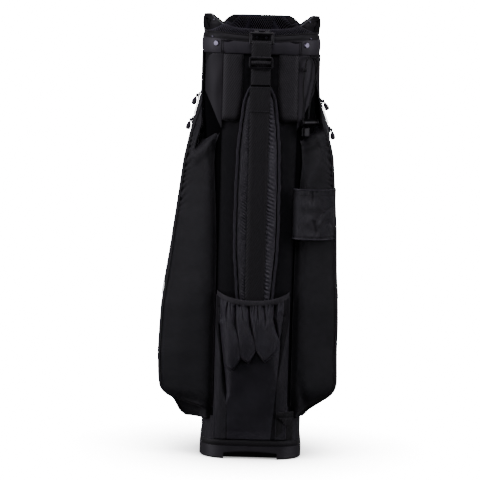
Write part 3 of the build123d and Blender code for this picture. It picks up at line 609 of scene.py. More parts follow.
# %% Pad edges and gathers
GATHER_LOW, GATHER_HIGH, BORDER, GATHER_INNER = 0.262, 0.722, 0.0088, 0.0178
# The right gather's lighter nylon is painted light, and the left gather's darker nylon is painted shade.
PLEATS = {"left": (0.0058, -0.6, 0.0011, gather_painted_shade), "right": (0.0078, 0.5, 0.0018, gather_painted_light)}
around = full_turn(16)
for side, word in SIDES:
    roll_x, roll_y = ring_points(around, EDGE_ROLL, 0.0028, 2.4)
    wobble = 0.0003 * np.sin(rows * 210 + side) + 0.0003 * np.sin(rows * 83)
    edge = np.column_stack([side * (pad_half - EDGE_ROLL + wobble), np.full(len(rows), PAD_FRONT + 0.0026), rows])
    roll = edge[:, None, :] + np.stack([roll_x, roll_y, 0 * roll_x], axis=-1)[None]
    strap_piece(grid_piece(f"pad_edge_{word}", roll, border_mesh, body=None, slot="pad_fabric", wrap=True))

    z = np.linspace(GATHER_LOW, GATHER_HIGH, 460)[:, None]
    share = np.linspace(0, 1, 26)[None, :]
    outer = np.maximum(np.interp(z, PAD_HEIGHTS, PAD_HALVES) - BORDER, GATHER_INNER + 0.001)
    x = GATHER_INNER + (outer - GATHER_INNER) * share
    crown = np.sin(math.pi * np.clip(0.12 + 0.86 * share, 0, 1)) ** 0.4
    pitch, slant, depth, finish = PLEATS[word]
    phase = 2 * math.pi * (z + slant * x) / pitch + 1.4 * np.sin(z * 61 + side) + 0.8 * np.sin(z * 143)
    pleat = (1 - np.abs(np.sin(phase / 2))) * (1 - share) ** 0.6 * (0.65 + 0.35 * np.sin(z * 37 + 2))
    y = PAD_FRONT + 0.0018 - 0.0040 * crown + depth * 1.6 * pleat * crown
    gather = np.stack([side * x, y, np.broadcast_to(z, x.shape)], axis=-1)
    strap_piece(grid_piece(f"pad_gather_{word}", gather, finish, body=None, slot="pad_fabric"))
    welt = np.column_stack([side * outer[::2, 0], np.full(230, PAD_FRONT + 0.0006), z[::2, 0]])
    welt = welt[:, None, :] + 0.0009 * np.stack([np.cos(around), np.sin(around), 0 * around], axis=-1)[None]
    strap_piece(grid_piece(f"pad_welt_{word}", welt, finish, body=None, slot="pad_fabric", wrap=True))
print("pad edges", roll.shape, "gathers", gather.shape)

# %% [markdown]
# ## Webbing
# One band of webbing folds over the ring's lower bar and runs down the front of the pad. A plane with
# Solidify would leave sharp edges, so a flat rounded section is carried along a path instead. Short layers
# and rows of stitches are sewn on where the webbing meets the pad.

# %% Strap webbing
WEB_HALF, WEB_THICK = 0.019, 0.0022
RING_Y, RING_BAR_Z, LOOP = -0.123, 0.824, 0.0038
WEB_FACE = RING_Y - LOOP


def band(name, path, outward, half, thick, body, replaces=()):
    """A flat band along path, with outward the way its face points at each point."""
    outline = np.array([
        (-1, 0.25), (-0.97, 0.5), (-0.5, 0.5), (0, 0.5), (0.5, 0.5), (0.97, 0.5), (1, 0.25),
        (1, -0.25), (0.97, -0.5), (0.5, -0.5), (0, -0.5), (-0.5, -0.5), (-0.97, -0.5), (-1, -0.25),
    ])
    points = path[:, None, :] + outward[:, None, :] * (outline[:, 1] * thick)[None, :, None]
    points = points + np.array([1.0, 0, 0]) * (outline[:, 0] * half)[None, :, None]
    return grid_piece(name, points, webbing_finish, body=body, slot="webbing", wrap=True, replaces=replaces)


bend = np.radians(np.linspace(0, 180, 15))
over_bar = np.column_stack([0 * bend, RING_Y + LOOP * np.cos(bend), RING_BAR_Z + LOOP * np.sin(bend)])
face = np.column_stack([0 * bend, np.cos(bend), np.sin(bend)])
down_front = np.linspace(RING_BAR_Z - 0.004, 0.268, 140)
down_back = np.linspace(0.788, RING_BAR_Z - 0.004, 8)
web_path = np.concatenate([
    np.column_stack([0 * down_back, np.full(8, RING_Y + LOOP), down_back]),
    over_bar,
    np.column_stack([0 * down_front, np.full(140, WEB_FACE), down_front]),
])
web_out = np.concatenate([np.tile([0, 1.0, 0], (8, 1)), face, np.tile([0, -1.0, 0], (140, 1))])
strap_web = band(
    "strap_webbing", web_path, web_out, WEB_HALF, WEB_THICK, None,
    replaces=("strap_webbing_upper", "strap_webbing_lower"),
)
strap_piece(strap_web)


def sewn_layer(name, high, low, count, lift, half, thick):
    """A short layer of webbing sewn on the strap's face."""
    z = np.linspace(high, low, count)
    path = np.column_stack([0 * z, np.full(count, WEB_FACE - lift), z])
    band(name, path, np.tile([0, -1.0, 0], (count, 1)), half, thick, "strap_upper")


def sewn_line(name, z, lift, half, radius, finish):
    """A straight line across the strap's face."""
    ends = np.array([(side * half, WEB_FACE - lift, z) for side, _ in SIDES])
    tube(name, ends, radius, finish, body="strap_upper")


sewn_layer("strap_patch", 0.7395, 0.6900, 24, 0.0017, 0.0206, 0.0014)
sewn_layer("strap_hem", 0.7520, 0.7435, 8, 0.0020, 0.0190, 0.0028)
# A near-black line under the hem is a painted shadow.
sewn_line("strap_hem_painted_shadow", 0.7414, 0.0012, 0.0190, 0.0014, deep_black_and_painted_shade)
for number, place in enumerate((0.6915, 0.7380)):
    sewn_line(f"strap_stitch_{number}", place, 0.0024, 0.0185, 0.0006, canvas_finish)
print("webbing", len(web_path), "stations")

# %% [markdown]
# ## Back strips
# Two padded canvas strips stand proud on either side of the strap. Their lower ends roll inward, which
# leaves the dark slot that shows below them. Each is a stack of flat rounded sections laid on the trunk's
# own surface, so it follows the corner without a Shrinkwrap modifier.

# %% Back strips
STRIP_INNER, STRIP_OUTER, STRIP_LOW, STRIP_HIGH = 0.0345, 0.0735, 0.6705, 0.8016
STRIP_ROLL = 0.014
for side, word in SIDES:
    z = np.linspace(STRIP_LOW, STRIP_HIGH, 60)
    roll = 1 - np.sqrt(np.clip(1 - np.clip((STRIP_LOW + STRIP_ROLL - z) / STRIP_ROLL, 0, 1) ** 2, 0, 1))
    taper = 0.007 * smooth_step(0.726, 0.668, z)
    proud = 0.0095 * (1 - 0.85 * roll)
    inner, outer = STRIP_INNER + taper, np.full_like(z, STRIP_OUTER)
    half_wide, half_deep = ((outer - inner) / 2)[:, None], (proud / 2)[:, None] + 0.0006
    x, depth = ring_points(full_turn(40)[None, :], half_wide, half_deep, 5.0)
    x = x + ((inner + outer) / 2)[:, None]
    strip = trunk_rear(side * x, np.repeat(z[:, None], 40, axis=1))
    strip[..., 1] += depth - proud[:, None] / 2
    piece = grid_piece(
        f"back_strip_{word}", strip, canvas_finish, slot="webbing", wrap=True, replaces=(f"{word}_back_strip",)
    )
print("back strips", STRIP_HIGH - STRIP_LOW)

# %% [markdown]
# ## Yoke band
# A band of smooth coated trim goes round the top of the trunk, in panels with a felled seam between them, and
# its upper edge sags at the back. It could be cut from the trunk's mesh, but as rings of its own it can swell
# a little between its edges, as padded trim does.

# %% Yoke band
YOKE_LOW = 0.8018
REAR_SAG = 0.0057


def sag(x, y):
    """How far the bound edges dip in the middle of the back."""
    return REAR_SAG * np.clip(1 - (np.abs(x) / 0.085) ** 2, 0, 1) * (y < 0)


angle, share = np.meshgrid(full_turn(160), np.linspace(0, 1, 14))
edge_x, edge_y = ring_points(angle, 0.113, 0.112)
yoke_top = 0.8323 - sag(edge_x, edge_y)
yoke = trunk_ring(YOKE_LOW + (yoke_top - YOKE_LOW) * share, angle)
swell = 0.0020 + 0.0024 * np.sin(math.pi * np.clip(share, 0.04, 0.96)) ** 0.5
yoke[..., :2] *= (1 + swell / 0.113)[..., None]
grid_piece(
    "yoke_trim", yoke, coated_trim, slot="smooth_trim", wrap=True, thickness=0.0015, replaces=("yoke_band",)
)
for side, word in SIDES:
    for number, seam_x in enumerate((0.0745, 0.0785)):
        z = np.linspace(YOKE_LOW + 0.001, 0.8290, 12)
        seam = trunk_rear(np.full(12, side * seam_x), z, 0.0040 + 0.0004 * number)
        tube(f"{word}_yoke_seam_{number}", seam, 0.0008, binding_finish)
print("yoke", yoke.shape)

# %% [markdown]
# ## Bound edge
# A folded strip of binding covers the joint between yoke and rim, with a cord sewn into both its edges. One
# ring with rounded edges would hide those cords, so they are tubes along the ring's first and last rows.

# %% Bound edge
angle, share = np.meshgrid(full_turn(160), np.linspace(0, 1, 10))
edge_x, edge_y = ring_points(angle, 0.1148, 0.1140)
lean = 1 - 0.028 * share**1.5 + 0.010 * np.sin(math.pi * share)
edge_z = 0.8316 + 0.0122 * share - sag(edge_x, edge_y)
bound = np.stack([edge_x * lean, edge_y * lean, edge_z], axis=-1)
grid_piece("cuff_binding", bound, binding_finish, slot="smooth_trim", wrap=True, thickness=0.002)
tube("cuff_binding_edge", bound[0] * [1.002, 1.002, 1], 0.0013, binding_finish, closed=True)
tube("cuff_binding_top", bound[-1], 0.0016, binding_finish, closed=True)
print("bound edge", bound.shape)

# %% [markdown]
# ## Rim rolls
# Above the bound edge a padded roll leans in over the rim, front and rear. It wears an open mesh whose cells
# are big enough to see. A transparent pattern would look flat from the side, so the cells are real: a net of
# diamonds given thickness with the Wireframe modifier, over a dark core.

# %% Rim rolls
CUFF_INSIDE = (0.0772, 0.0972)
ROLL_OVER, ROLL_FOOT, ROLL_SPAN = 0.54, 0.823, math.radians(68)
RIM_X = [0, 0.030, 0.047, 0.052, 0.066, 0.0735, 0.086, 0.091, 0.098, 0.106, 0.112, 0.114]
RIM_REAR = [0.8505, 0.8510, 0.8518, 0.8521, 0.8535, 0.8548, 0.8575, 0.8585, 0.8545, 0.8490, 0.8450, 0.8440]
RIM_FRONT = [0.8722, 0.8722, 0.8722, 0.8700, 0.8590, 0.8535, 0.8575, 0.8585, 0.8545, 0.8490, 0.8450, 0.8440]


def rim_roll(angle, share, heights, lower=0.0):
    """From the bound edge (share 0) up and over the rim, and down inside it (share 1)."""
    outer_x, outer_y = ring_points(angle, 0.1122, 0.1112)
    inner_x, inner_y = ring_points(angle, *CUFF_INSIDE, 3.6)
    top = np.interp(np.abs(outer_x), RIM_X, heights) - lower
    low = 0.8425 - sag(outer_x, outer_y)
    lean = np.interp(share, [0, 0.2, 0.36, 0.46, ROLL_OVER, 1], [0, 0.28, 0.62, 0.86, 1.0, 1.0])
    climb = np.interp(share, [0, 0.2, 0.36, 0.46, ROLL_OVER], [0, 0.62, 0.94, 1.0, 0.86])
    inside = np.interp(share, [ROLL_OVER, 1.0], [1.0, 0.0])
    rising, falling = low + (top - low) * climb, ROLL_FOOT + (low + (top - low) * 0.86 - ROLL_FOOT) * inside
    x, y = outer_x + (inner_x - outer_x) * lean, outer_y + (inner_y - outer_y) * lean
    return np.stack([x, y, np.where(share < ROLL_OVER, rising, falling)], axis=-1)


def diamond_net(name, points, wire):
    """Diamond cells over a grid of points, made into strands by the Wireframe modifier."""
    rows, columns = points.shape[:2]
    faces = [
        (r * columns + c - 1, (r - 1) * columns + c, r * columns + c + 1, (r + 1) * columns + c)
        for r in range(1, rows - 1) for c in range(1, columns - 1) if (r + c) % 2
    ]
    mesh = bpy.data.meshes.new(name)
    mesh.from_pydata(points.reshape(-1, 3).tolist(), [], faces)
    mesh.uv_layers.new(name="metres")
    net = add_piece(name, mesh, net_finish, "bag")
    strands = net.modifiers.new("strands", "WIREFRAME")
    strands.thickness, strands.use_boundary, strands.use_even_offset = wire, True, False


for word, middle, heights in (("rear", -math.pi / 2, RIM_REAR), ("front", math.pi / 2, RIM_FRONT)):
    ends = middle - ROLL_SPAN, middle + ROLL_SPAN
    core = rim_roll(*np.meshgrid(np.linspace(*ends, 120), np.linspace(0, 1, 30)), heights, 0.0016)
    roll = grid_piece(
        f"{word}_rim_core", core, deep_black_and_painted_shade, slot="air_mesh", thickness=0.0015, replaces=(f"{word}_rim_pad",)
    )
    net = rim_roll(*np.meshgrid(np.linspace(*ends, 113), np.linspace(0, 1, 27)), heights)
    diamond_net(f"{word}_rim_net", net, 0.0013)
print("rim rolls", core.shape, "nets", net.shape)

# %% [markdown]
# ## Lift handles
# Each side of the cuff rises into a moulded handle. Seen from behind it looks like an ear: a bowed wall that
# climbs to a flat top, with a three-sided opening near its rear end. A Boolean could cut the opening, but it
# leaves long thin faces on a bowed wall. Here the hole's faces are left out of a grid along the bow, and
# modifiers give it thickness and a rounded edge.

# %% Lift handles
BOW_CENTRE, BOW_RADIUS, BOW_TURN = 0.0569, 0.0601, math.radians(72.5)
EAR_X = [0.0740, 0.1040, 0.1180]
EAR_TOP = [0.8540, 0.8755, 0.8755]
EAR_LOW = 0.8290
HOLE = np.array([(0.1125, 0.8690), (0.1000, 0.8640), (0.1035, 0.8470)])


def in_hole(x, z):
    """True inside the opening's three sides."""
    inside = np.ones_like(x, dtype=bool)
    for (x0, z0), (x1, z1) in zip(HOLE, np.roll(HOLE, -1, axis=0)):
        inside &= (x1 - x0) * (z - z0) - (z1 - z0) * (x - x0) > 0
    return inside


for side, word in SIDES:
    turn, share = np.meshgrid(np.linspace(-BOW_TURN, BOW_TURN, 150), np.linspace(0, 1, 44))
    plan_x = BOW_CENTRE + BOW_RADIUS * np.cos(turn)
    z = EAR_LOW + (np.interp(plan_x, EAR_X, EAR_TOP) - EAR_LOW) * share
    flare = np.interp(z, [0.829, 0.842, 0.857, 0.868, 0.876], [-0.0055, -0.0022, 0, -0.0006, -0.0028])
    x = BOW_CENTRE + (BOW_RADIUS + flare) * np.cos(turn)
    y = (BOW_RADIUS + flare) * np.sin(turn)
    ear = np.stack([side * x, side * y, z], axis=-1)
    handle = grid_piece(
        f"{word}_handle", ear, handle_plastic, slot="cuff_plastic", replaces=(f"{word}_lift_handle",)
    )
    shell = bmesh.new()
    shell.from_mesh(handle.data)
    centres = [(f, f.calc_center_median()) for f in shell.faces]
    gone = [f for f, c in centres if c.y < 0 and in_hole(np.abs(c.x), c.z)]
    bmesh.ops.delete(shell, geom=gone, context="FACES")
    shell.to_mesh(handle.data)
    shell.free()
    wall = handle.modifiers.new("wall", "SOLIDIFY")
    wall.thickness, wall.offset = 0.0085, -1.0
    edge = handle.modifiers.new("soft edge", "BEVEL")
    edge.width, edge.segments, edge.limit_method, edge.angle_limit = 0.0022, 3, "ANGLE", math.radians(50)
    rivet(f"{word}_handle_rivet", (side * 0.0945, -0.0490, 0.8650), (0, -1.0, 0.4), 0.0018)
    rivet(f"{word}_cuff_rivet", (side * 0.0960, -0.1010, 0.8340), (side * 0.5, -1.0, 0), 0.0020)
    print(word, "handle", len(handle.data.polygons), "faces, hole of", len(gone))

# %% [markdown]
# ## Dividers
# Padded bars cross the cuff and carry long fabric sheets that keep the clubs apart. The two long bars climb
# towards the front with the rim. Cylinders would be too stiff, so each bar is a row of rounded sections that
# sags a little between its ends, and each sheet is a grid with a slight wave.

# %% Dividers
DIVIDER_RUNS = [
    ((-0.0262, 0.0), (0.0262, 0.0)), ((-0.036, -0.0965), (-0.025, 0.0965)), ((0.036, -0.0965), (0.025, 0.0965)),
    ((-0.0348, 0.0), (-0.0775, 0.0)), ((0.0348, 0.0), (0.0775, 0.0)),
]
BAR_LOW, BAR_HALF = 0.818, 0.0037
SHEET_LOW, SHEET_HIGH, SHEET_LENGTH = 0.027, 0.822, 0.795
for number, (start, end) in enumerate(DIVIDER_RUNS):
    start, end = np.array(start), np.array(end)
    share = np.linspace(0, 1, 40)[:, None]
    way = (end - start) / np.linalg.norm(end - start)
    side_way = np.array([-way[1], way[0]])
    plan = start + (end - start) * share
    top = (0.850 + 0.016 * share if way[1] else 0.843 + 0 * share) - 0.002 * np.sin(math.pi * share)
    wide, tall = ring_points(full_turn(24)[None, :], BAR_HALF, (top - BAR_LOW) / 2, 3.0)
    bar_plan = plan[:, None, :] + side_way * wide[..., None]
    bar = np.concatenate([bar_plan, ((top + BAR_LOW) / 2 + tall)[..., None]], axis=-1)
    piece = grid_piece(f"divider_bar_{number}", bar, bar_fabric, slot="smooth_trim", wrap=True)
    z = np.linspace(SHEET_LOW, SHEET_HIGH, 60)
    wave = 0.0012 * np.sin(z * 25 + number)
    sheet_plan = plan[None] + side_way * wave[:, None, None]
    sheet = np.concatenate([sheet_plan, np.broadcast_to(z[:, None, None], (60, 40, 1))], axis=-1)
    cloth = grid_piece(f"divider_sheet_{number}", sheet, lining_fabric, slot="lining", thickness=0.0012)
    flat = (float(np.linalg.norm(end - start)), SHEET_LENGTH)
    if number == 0:
        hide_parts("divider_bars")
        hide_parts("divider_sheets")
print("dividers", len(DIVIDER_RUNS))

# %% [markdown]
# ## Corner panels
# Outside each strip a smooth coated panel turns round the trunk's corner, ends in a slanting edge and is piped
# along it. The right panel's trim is a lighter copy of the left one's, painted light. Below that edge a
# near-black sheet lies just over the trunk, between the trunk and the pocket, as painted shade for the dark gap
# there. Both could be colours on the trunk, but a raised panel catches light along its edge.

# %% Corner panels and painted-shade gussets
PANEL_EDGE = [
    (0.655, 0.0745), (0.690, 0.0895), (0.728, 0.1066), (0.750, 0.1068), (0.772, 0.1066), (0.787, 0.1045),
    (0.797, 0.100), (0.8017, 0.094),
]
for side, word in SIDES:
    z, share = upright_grid((PANEL_EDGE[0][0], PANEL_EDGE[-1][0], 60), (0, 1, 24))
    edge = np.interp(z, *zip(*PANEL_EDGE))
    x = STRIP_OUTER + (edge - STRIP_OUTER) * share
    panel = trunk_rear(side * x, z, 0.0024)
    panel[..., 1] -= 0.0012 * folds(panel, 0.05, 31 + side) * np.sin(math.pi * share)
    # The right panel takes the lighter copy of the trim as painted light, and the left panel takes the plain
    # trim.
    finish = corner_trim if side < 0 else corner_trim_painted_light
    grid_piece(f"{word}_corner_panel", panel, finish, slot="smooth_trim", thickness=0.0016)
    tube(f"{word}_corner_piping", panel[:, -1] + [0, 0.0010, 0], 0.0013, deep_black_and_painted_shade)
    # A near-black sheet over the trunk beside the pocket is painted shade for the gap there.
    z, x = upright_grid((0.085, 0.740, 90), (0.0740, 0.108, 20))
    grid_piece(f"{word}_gusset", trunk_rear(side * x, z, 0.0010), deep_black_and_painted_shade, slot="lining")
print("corner panels", panel.shape)

# %% [markdown]
# ## Side pocket shape
# The two garment pockets start as a thin fold under the yoke and swell towards the bottom. Inflating a flat
# pattern would make such a pouch, but its outline would be left to chance. Each is a stack of soft sections
# from the gusset beside the trunk, over a broad rear face, round the outside and in to the front, and a table
# says how far out each section reaches. A flat run down the outside carries the zips.

# %% Side pocket shape
LEFT_REACH = [
    (0.0775, 0.130), (0.080, 0.137), (0.086, 0.1435), (0.094, 0.1475), (0.102, 0.1515), (0.110, 0.156),
    (0.116, 0.160), (0.121, 0.168), (0.126, 0.176), (0.1335, 0.182), (0.142, 0.185), (0.158, 0.187),
    (0.206, 0.1895), (0.255, 0.1875), (0.303, 0.185), (0.351, 0.178), (0.400, 0.1715), (0.448, 0.1665),
    (0.496, 0.160), (0.544, 0.154), (0.592, 0.148), (0.640, 0.138), (0.672, 0.1290), (0.696, 0.1215),
    (0.720, 0.1170), (0.745, 0.1165), (0.801, 0.1160),
]
RIGHT_REACH = [
    (0.0835, 0.102), (0.085, 0.107), (0.0933, 0.113), (0.1016, 0.123), (0.110, 0.1345), (0.1185, 0.1463),
    (0.127, 0.158), (0.135, 0.164), (0.1434, 0.1676), (0.1516, 0.1693), (0.168, 0.169), (0.216, 0.1675),
    (0.2646, 0.168), (0.313, 0.1665), (0.361, 0.163), (0.409, 0.1615), (0.457, 0.160), (0.505, 0.1565),
    (0.553, 0.153), (0.600, 0.1495), (0.625, 0.144), (0.648, 0.1365), (0.680, 0.127), (0.695, 0.1245),
    (0.719, 0.119), (0.745, 0.1170), (0.801, 0.1170),
]
LEFT_FLAT = [
    (0.080, 0.138), (0.119, 0.161), (0.131, 0.180), (0.165, 0.187), (0.300, 0.186), (0.672, 0.1295),
    (0.722, 0.1165), (0.801, 0.1165),
]
RIGHT_FLAT = [
    (0.084, 0.106), (0.118, 0.146), (0.136, 0.164), (0.156, 0.169), (0.300, 0.168), (0.660, 0.138),
    (0.716, 0.117), (0.801, 0.117),
]
ROOT_Z = [0.30, 0.42, 0.52, 0.59, 0.625, 0.65]
ROOT_X = [0.0765, 0.0775, 0.082, 0.0865, 0.0840, 0.0765]


def soft_curve(table, z):
    """A table of (height, value) pairs read at heights z, with its kinks eased."""
    fine = np.linspace(table[0][0], table[-1][0], 400)
    values = np.interp(fine, *zip(*table))
    kernel = np.hanning(9) / np.hanning(9).sum()
    return np.interp(z, fine, np.convolve(np.pad(values, 4, mode="edge"), kernel, mode="valid"))


def pocket_sections(side, table, flat):
    """Rows of points from the gusset, over the rear face and the outside, to the front crease."""
    z = np.linspace(table[0][0], table[-1][0], 250)
    reach = soft_curve(table, z)
    flat_reach = np.interp(z, *zip(*flat))
    zip_reach = np.where(z > 0.64, flat_reach, np.minimum(reach, flat_reach))
    full = smooth_step(0.735, 0.56, z) * smooth_step(table[0][0] - 0.01, table[0][0] + 0.06, z)
    inner, rear, front = -0.094 - 0.015 * full, -0.072 - 0.019 * full, 0.044 + 0.026 * full
    half_width, _ = trunk_half(z)
    root = np.interp(z, ROOT_Z, ROOT_X)
    slack = smooth_step(0.54, 0.60, z) * (side > 0)
    corner = np.minimum(root + 0.0145 + 0.012 * slack, reach - 0.014)
    outer = reach - 0.014
    still = 0 * z
    controls = [
        (root, trunk_rear(root, z)[:, 1] + 0.004),
        (np.minimum(root - 0.0005, corner), inner * 0.6 - 0.040),
        (np.minimum(root + 0.0020, corner), inner + 0.005),
        (corner, inner - 0.002 + 0.010 * slack),
        (corner * 0.5 + outer * 0.5, inner * 0.5 + rear * 0.5 - 0.002),
        (outer, rear - 0.001),
        (reach - 0.002, rear + 0.002),
        (reach, rear + 0.012),
        (reach * 0.7 + zip_reach * 0.3, rear * 0.5 - 0.018),
        (zip_reach, -0.026 + still),
        (zip_reach, still),
        (zip_reach, 0.022 + still),
        (reach * 0.6 + zip_reach * 0.4, front - 0.014),
        (reach - 0.005, front - 0.002),
        (reach - 0.020, front + 0.001),
        (half_width + 0.008, front + 0.002),
        (half_width - 0.004, front),
    ]
    return rounded(np.stack([np.stack([side * x, y, z], axis=-1) for x, y in controls], axis=1))


def tuck(points, lip, outer):
    """Pushes the rear face in above the lip's line and inside the outer strip, and rolls the lip."""
    x, z = np.abs(points[..., 0]), points[..., 2]
    (x0, z0), (x1, z1) = lip
    above = ((x1 - x0) * (z - z0) - (z1 - z0) * (x - x0)) / math.hypot(x1 - x0, z1 - z0)
    edge = np.interp(z, *zip(*outer))
    rear = smooth_step(0.00, -0.03, points[..., 1])
    hollow = smooth_step(0.0, 0.007, above) * smooth_step(edge + 0.001, edge - 0.005, x) * rear
    low = [(x0 + 0.004, z0 - 0.010), (x1 - 0.002, z1 - 0.008)]
    lower = [(x0 + 0.006, z0 - 0.024), (x1 - 0.004, z1 - 0.018)]
    roll = 0.0055 * near_line(x, z, low, 0.0065) + 0.003 * near_line(x, z, lower, 0.006)
    points[..., 1] += 0.042 * hollow - roll * rear


print("pocket tables", len(LEFT_REACH), len(RIGHT_REACH))

# %% [markdown]
# ## Side pockets
# High up, each pocket's rear face tucks in behind the trunk's corner, which leaves a dark three-cornered hollow
# over a rolled lip. Sculpting could press that in by hand; here each dent is a distance from a line, so it
# stays where the photo shows it. Slack cloth then crumples, and a seam is piped down the rear edge.

# %% Side pockets
POCKETS = {
    "left": (-1, LEFT_REACH, LEFT_FLAT, [(0.074, 0.655), (0.127, 0.606)],
             [(0.600, 0.130), (0.606, 0.127), (0.658, 0.1125), (0.713, 0.113), (0.740, 0.112)]),
    "right": (1, RIGHT_REACH, RIGHT_FLAT, [(0.078, 0.640), (0.126, 0.652)],
              [(0.640, 0.128), (0.652, 0.126), (0.700, 0.119), (0.740, 0.109), (0.801, 0.104)]),
}
SEAM_ROW = 120
for word, (side, table, flat, lip, outer) in POCKETS.items():
    points = pocket_sections(side, table, flat)
    rear_face = smooth_step(-0.03, -0.07, points[..., 1]) * smooth_step(0.088, 0.104, np.abs(points[..., 0]))
    crumple = folds(points, 0.16, 11 + side) + 0.35 * folds(points, 0.05, 15 + side)
    points[..., 1] -= 0.0016 * rear_face * crumple
    tuck(points, lip, outer)
    x, z = np.abs(points[..., 0]), points[..., 2]
    reach = np.broadcast_to(x.max(axis=1, keepdims=True), x.shape)
    by_edge = smooth_step(0.030, 0.004, reach - x) * smooth_step(-0.04, -0.07, points[..., 1])
    puckers = np.sin(z * 520 + x * 430 + 2.0 * np.sin(z * 90))
    puckers = puckers * smooth_step(0.46, 0.53, z) * smooth_step(0.66, 0.62, z)
    points[..., 1] -= 0.0012 * by_edge * puckers
    if side < 0:
        seam = [(0.089, 0.1005), (0.130, 0.112), (0.168, 0.1215)]
        under = smooth_step(0.0, 0.006, np.interp(x, *zip(*seam)) - z) * rear_face
        points[..., 1] += 0.010 * under - 0.003 * near_line(x, z, seam, 0.004) * rear_face
    else:
        brace = [(0.088, 0.150), (0.112, 0.098)]
        points[..., 1] += 0.004 * near_line(x, z, brace, 0.008) * rear_face
    floor_row = points[:1].copy()
    floor_row[..., 0] = side * 0.095
    floor_row[..., 1] = np.clip(floor_row[..., 1], -0.085, 0.085)
    points = np.concatenate([floor_row, points])
    grid_piece(f"{word}_pocket_shell", points, shell_fabric, replaces=(f"{word}_pocket",))
    seam_x, seam_y = points[SEAM_ROW, :, 0], points[SEAM_ROW, :, 1]
    column = int(np.argmin(np.abs(seam_x - side * (np.abs(seam_x).max() - 0.005)) + seam_y))
    tube(f"{word}_pocket_seam", points[4:-30, column] + [0, -0.0002, 0], 0.0011, binding_finish)
    print(word, "pocket", points.shape)

# %% [markdown]
# ## Stash pocket
# The pouch on the back is gathered by an elastic along its sagging mouth. Below the elastic the cloth hangs in a
# few lobes with deep folds between them, and each lobe ends in a soft point over a smooth panel. A simulated
# cloth would fold where it likes. Here crease lines part the lobes, a zigzag line says where they end, and
# folds push the surface in, so they are where the photo has them and cast real shadows.

# %% Stash pocket
STASH_HALF, STASH_MIDDLE, STASH_LOW = 0.0715, -0.0025, 0.040
CREASES = [
    [(-0.0630, 0.310), (-0.0630, 0.268), (-0.0590, 0.233), (-0.0520, 0.174)],
    [(-0.0340, 0.310), (-0.0330, 0.273), (-0.0270, 0.250), (-0.0210, 0.205)],
    [(-0.0080, 0.310), (-0.0050, 0.274), (0.0040, 0.243), (0.0085, 0.222)],
    [(0.0420, 0.310), (0.0410, 0.285), (0.0470, 0.260), (0.0530, 0.240)],
]
HANG = [
    (-0.0720, 0.300), (-0.0600, 0.262), (-0.0520, 0.188), (-0.0370, 0.181), (-0.0210, 0.206), (-0.0060, 0.197),
    (0.0085, 0.222), (0.0260, 0.200), (0.0430, 0.216), (0.0530, 0.245), (0.0660, 0.300),
]
FOLDS = [
    (0.0050, 0.0150, [(-0.063, 0.268), (-0.059, 0.233), (-0.052, 0.174), (-0.048, 0.134), (-0.047, 0.118)]),
    (0.0040, 0.0090, [(-0.065, 0.304), (-0.060, 0.288), (-0.063, 0.272)]),
    (0.0026, 0.0090, [(-0.034, 0.308), (-0.033, 0.273), (-0.027, 0.250)]),
    (0.0022, 0.0060, [(-0.050, 0.308), (-0.051, 0.285), (-0.049, 0.268)]),
    (0.0026, 0.0100, [(-0.008, 0.308), (-0.005, 0.274), (0.004, 0.243)]),
    (0.0022, 0.0050, [(-0.021, 0.308), (-0.019, 0.288), (-0.015, 0.272)]),
    (0.0030, 0.0070, [(0.023, 0.308), (0.025, 0.285), (0.024, 0.268)]),
    (0.0022, 0.0045, [(0.010, 0.308), (0.011, 0.290), (0.014, 0.276)]),
    (0.0028, 0.0150, [(0.042, 0.310), (0.041, 0.285), (0.047, 0.260), (0.053, 0.240)]),
    (0.0060, 0.0080, [(0.059, 0.290), (0.055, 0.256), (0.054, 0.217), (0.051, 0.167)]),
]
BELLY_Z = [0.040, 0.055, 0.085, 0.120, 0.170, 0.205, 0.235, 0.280, 0.330]
BELLY = [0.001, 0.002, 0.0065, 0.0135, 0.0245, 0.0315, 0.0350, 0.0365, 0.0360]


def mouth_height(across):
    """Height of the sagging mouth, with across from -1 to 1."""
    return 0.3300 - 0.0150 * (1 - np.abs(across) ** 2.2)


def stash_skin(x, z, gap=0.0):
    """The smooth pouch without its folds, grown by gap. It sits a little left of the middle."""
    across = np.clip(np.abs(x - STASH_MIDDLE) / STASH_HALF, 0, 1)
    skin = trunk_rear(x, z, 0.0008 + gap)
    skin[..., 1] -= np.clip(1 - across**4.5, 0, 1) ** 0.6 * np.interp(z, BELLY_Z, BELLY)
    return skin


across, down = np.meshgrid(np.linspace(-1, 1, 260), np.linspace(0, 1, 220))
top = mouth_height(across) - 0.003
stash_z = top + (STASH_LOW - top) * down
stash = stash_skin(across * STASH_HALF + STASH_MIDDLE, stash_z)
stash_x = stash[..., 0] - STASH_MIDDLE
inside = smooth_step(1.0, 0.88, np.abs(across))
swell = np.zeros_like(stash_x)
hang = np.interp(stash_x, *zip(*HANG))
curtain = smooth_step(hang - 0.0005, hang + 0.0035, stash_z)
lines = [np.interp(stash_z, *zip(*[(z, x) for x, z in reversed(run)])) for run in CREASES]
for near, far in zip(lines, lines[1:]):
    place = np.clip((stash_x - near) / (far - near), 0, 1)
    swell += 0.0042 * (4 * place * (1 - place)) ** 0.6
swell = curtain * (0.0030 + swell) * smooth_step(0.336, 0.280, stash_z)
for width, depth, run in FOLDS:
    swell -= depth * near_line(stash_x, stash_z, run, width, (0.8, 0.1), 1.2)
puckers = np.sin(stash_x * 880 + 3 * np.sin(stash_x * 160)) * np.exp((stash_z - top) / 0.016)
drape = 0.0010 * folds(stash, 0.06, 41) + 0.0018 * puckers
stash[..., 1] -= (swell + drape) * inside
pouch = grid_piece("stash_pouch", stash, thin_nylon, thickness=0.0016, replaces=("stash_pocket",))
face_x, face_z = stash_x[:-1, :-1], stash_z[:-1, :-1]
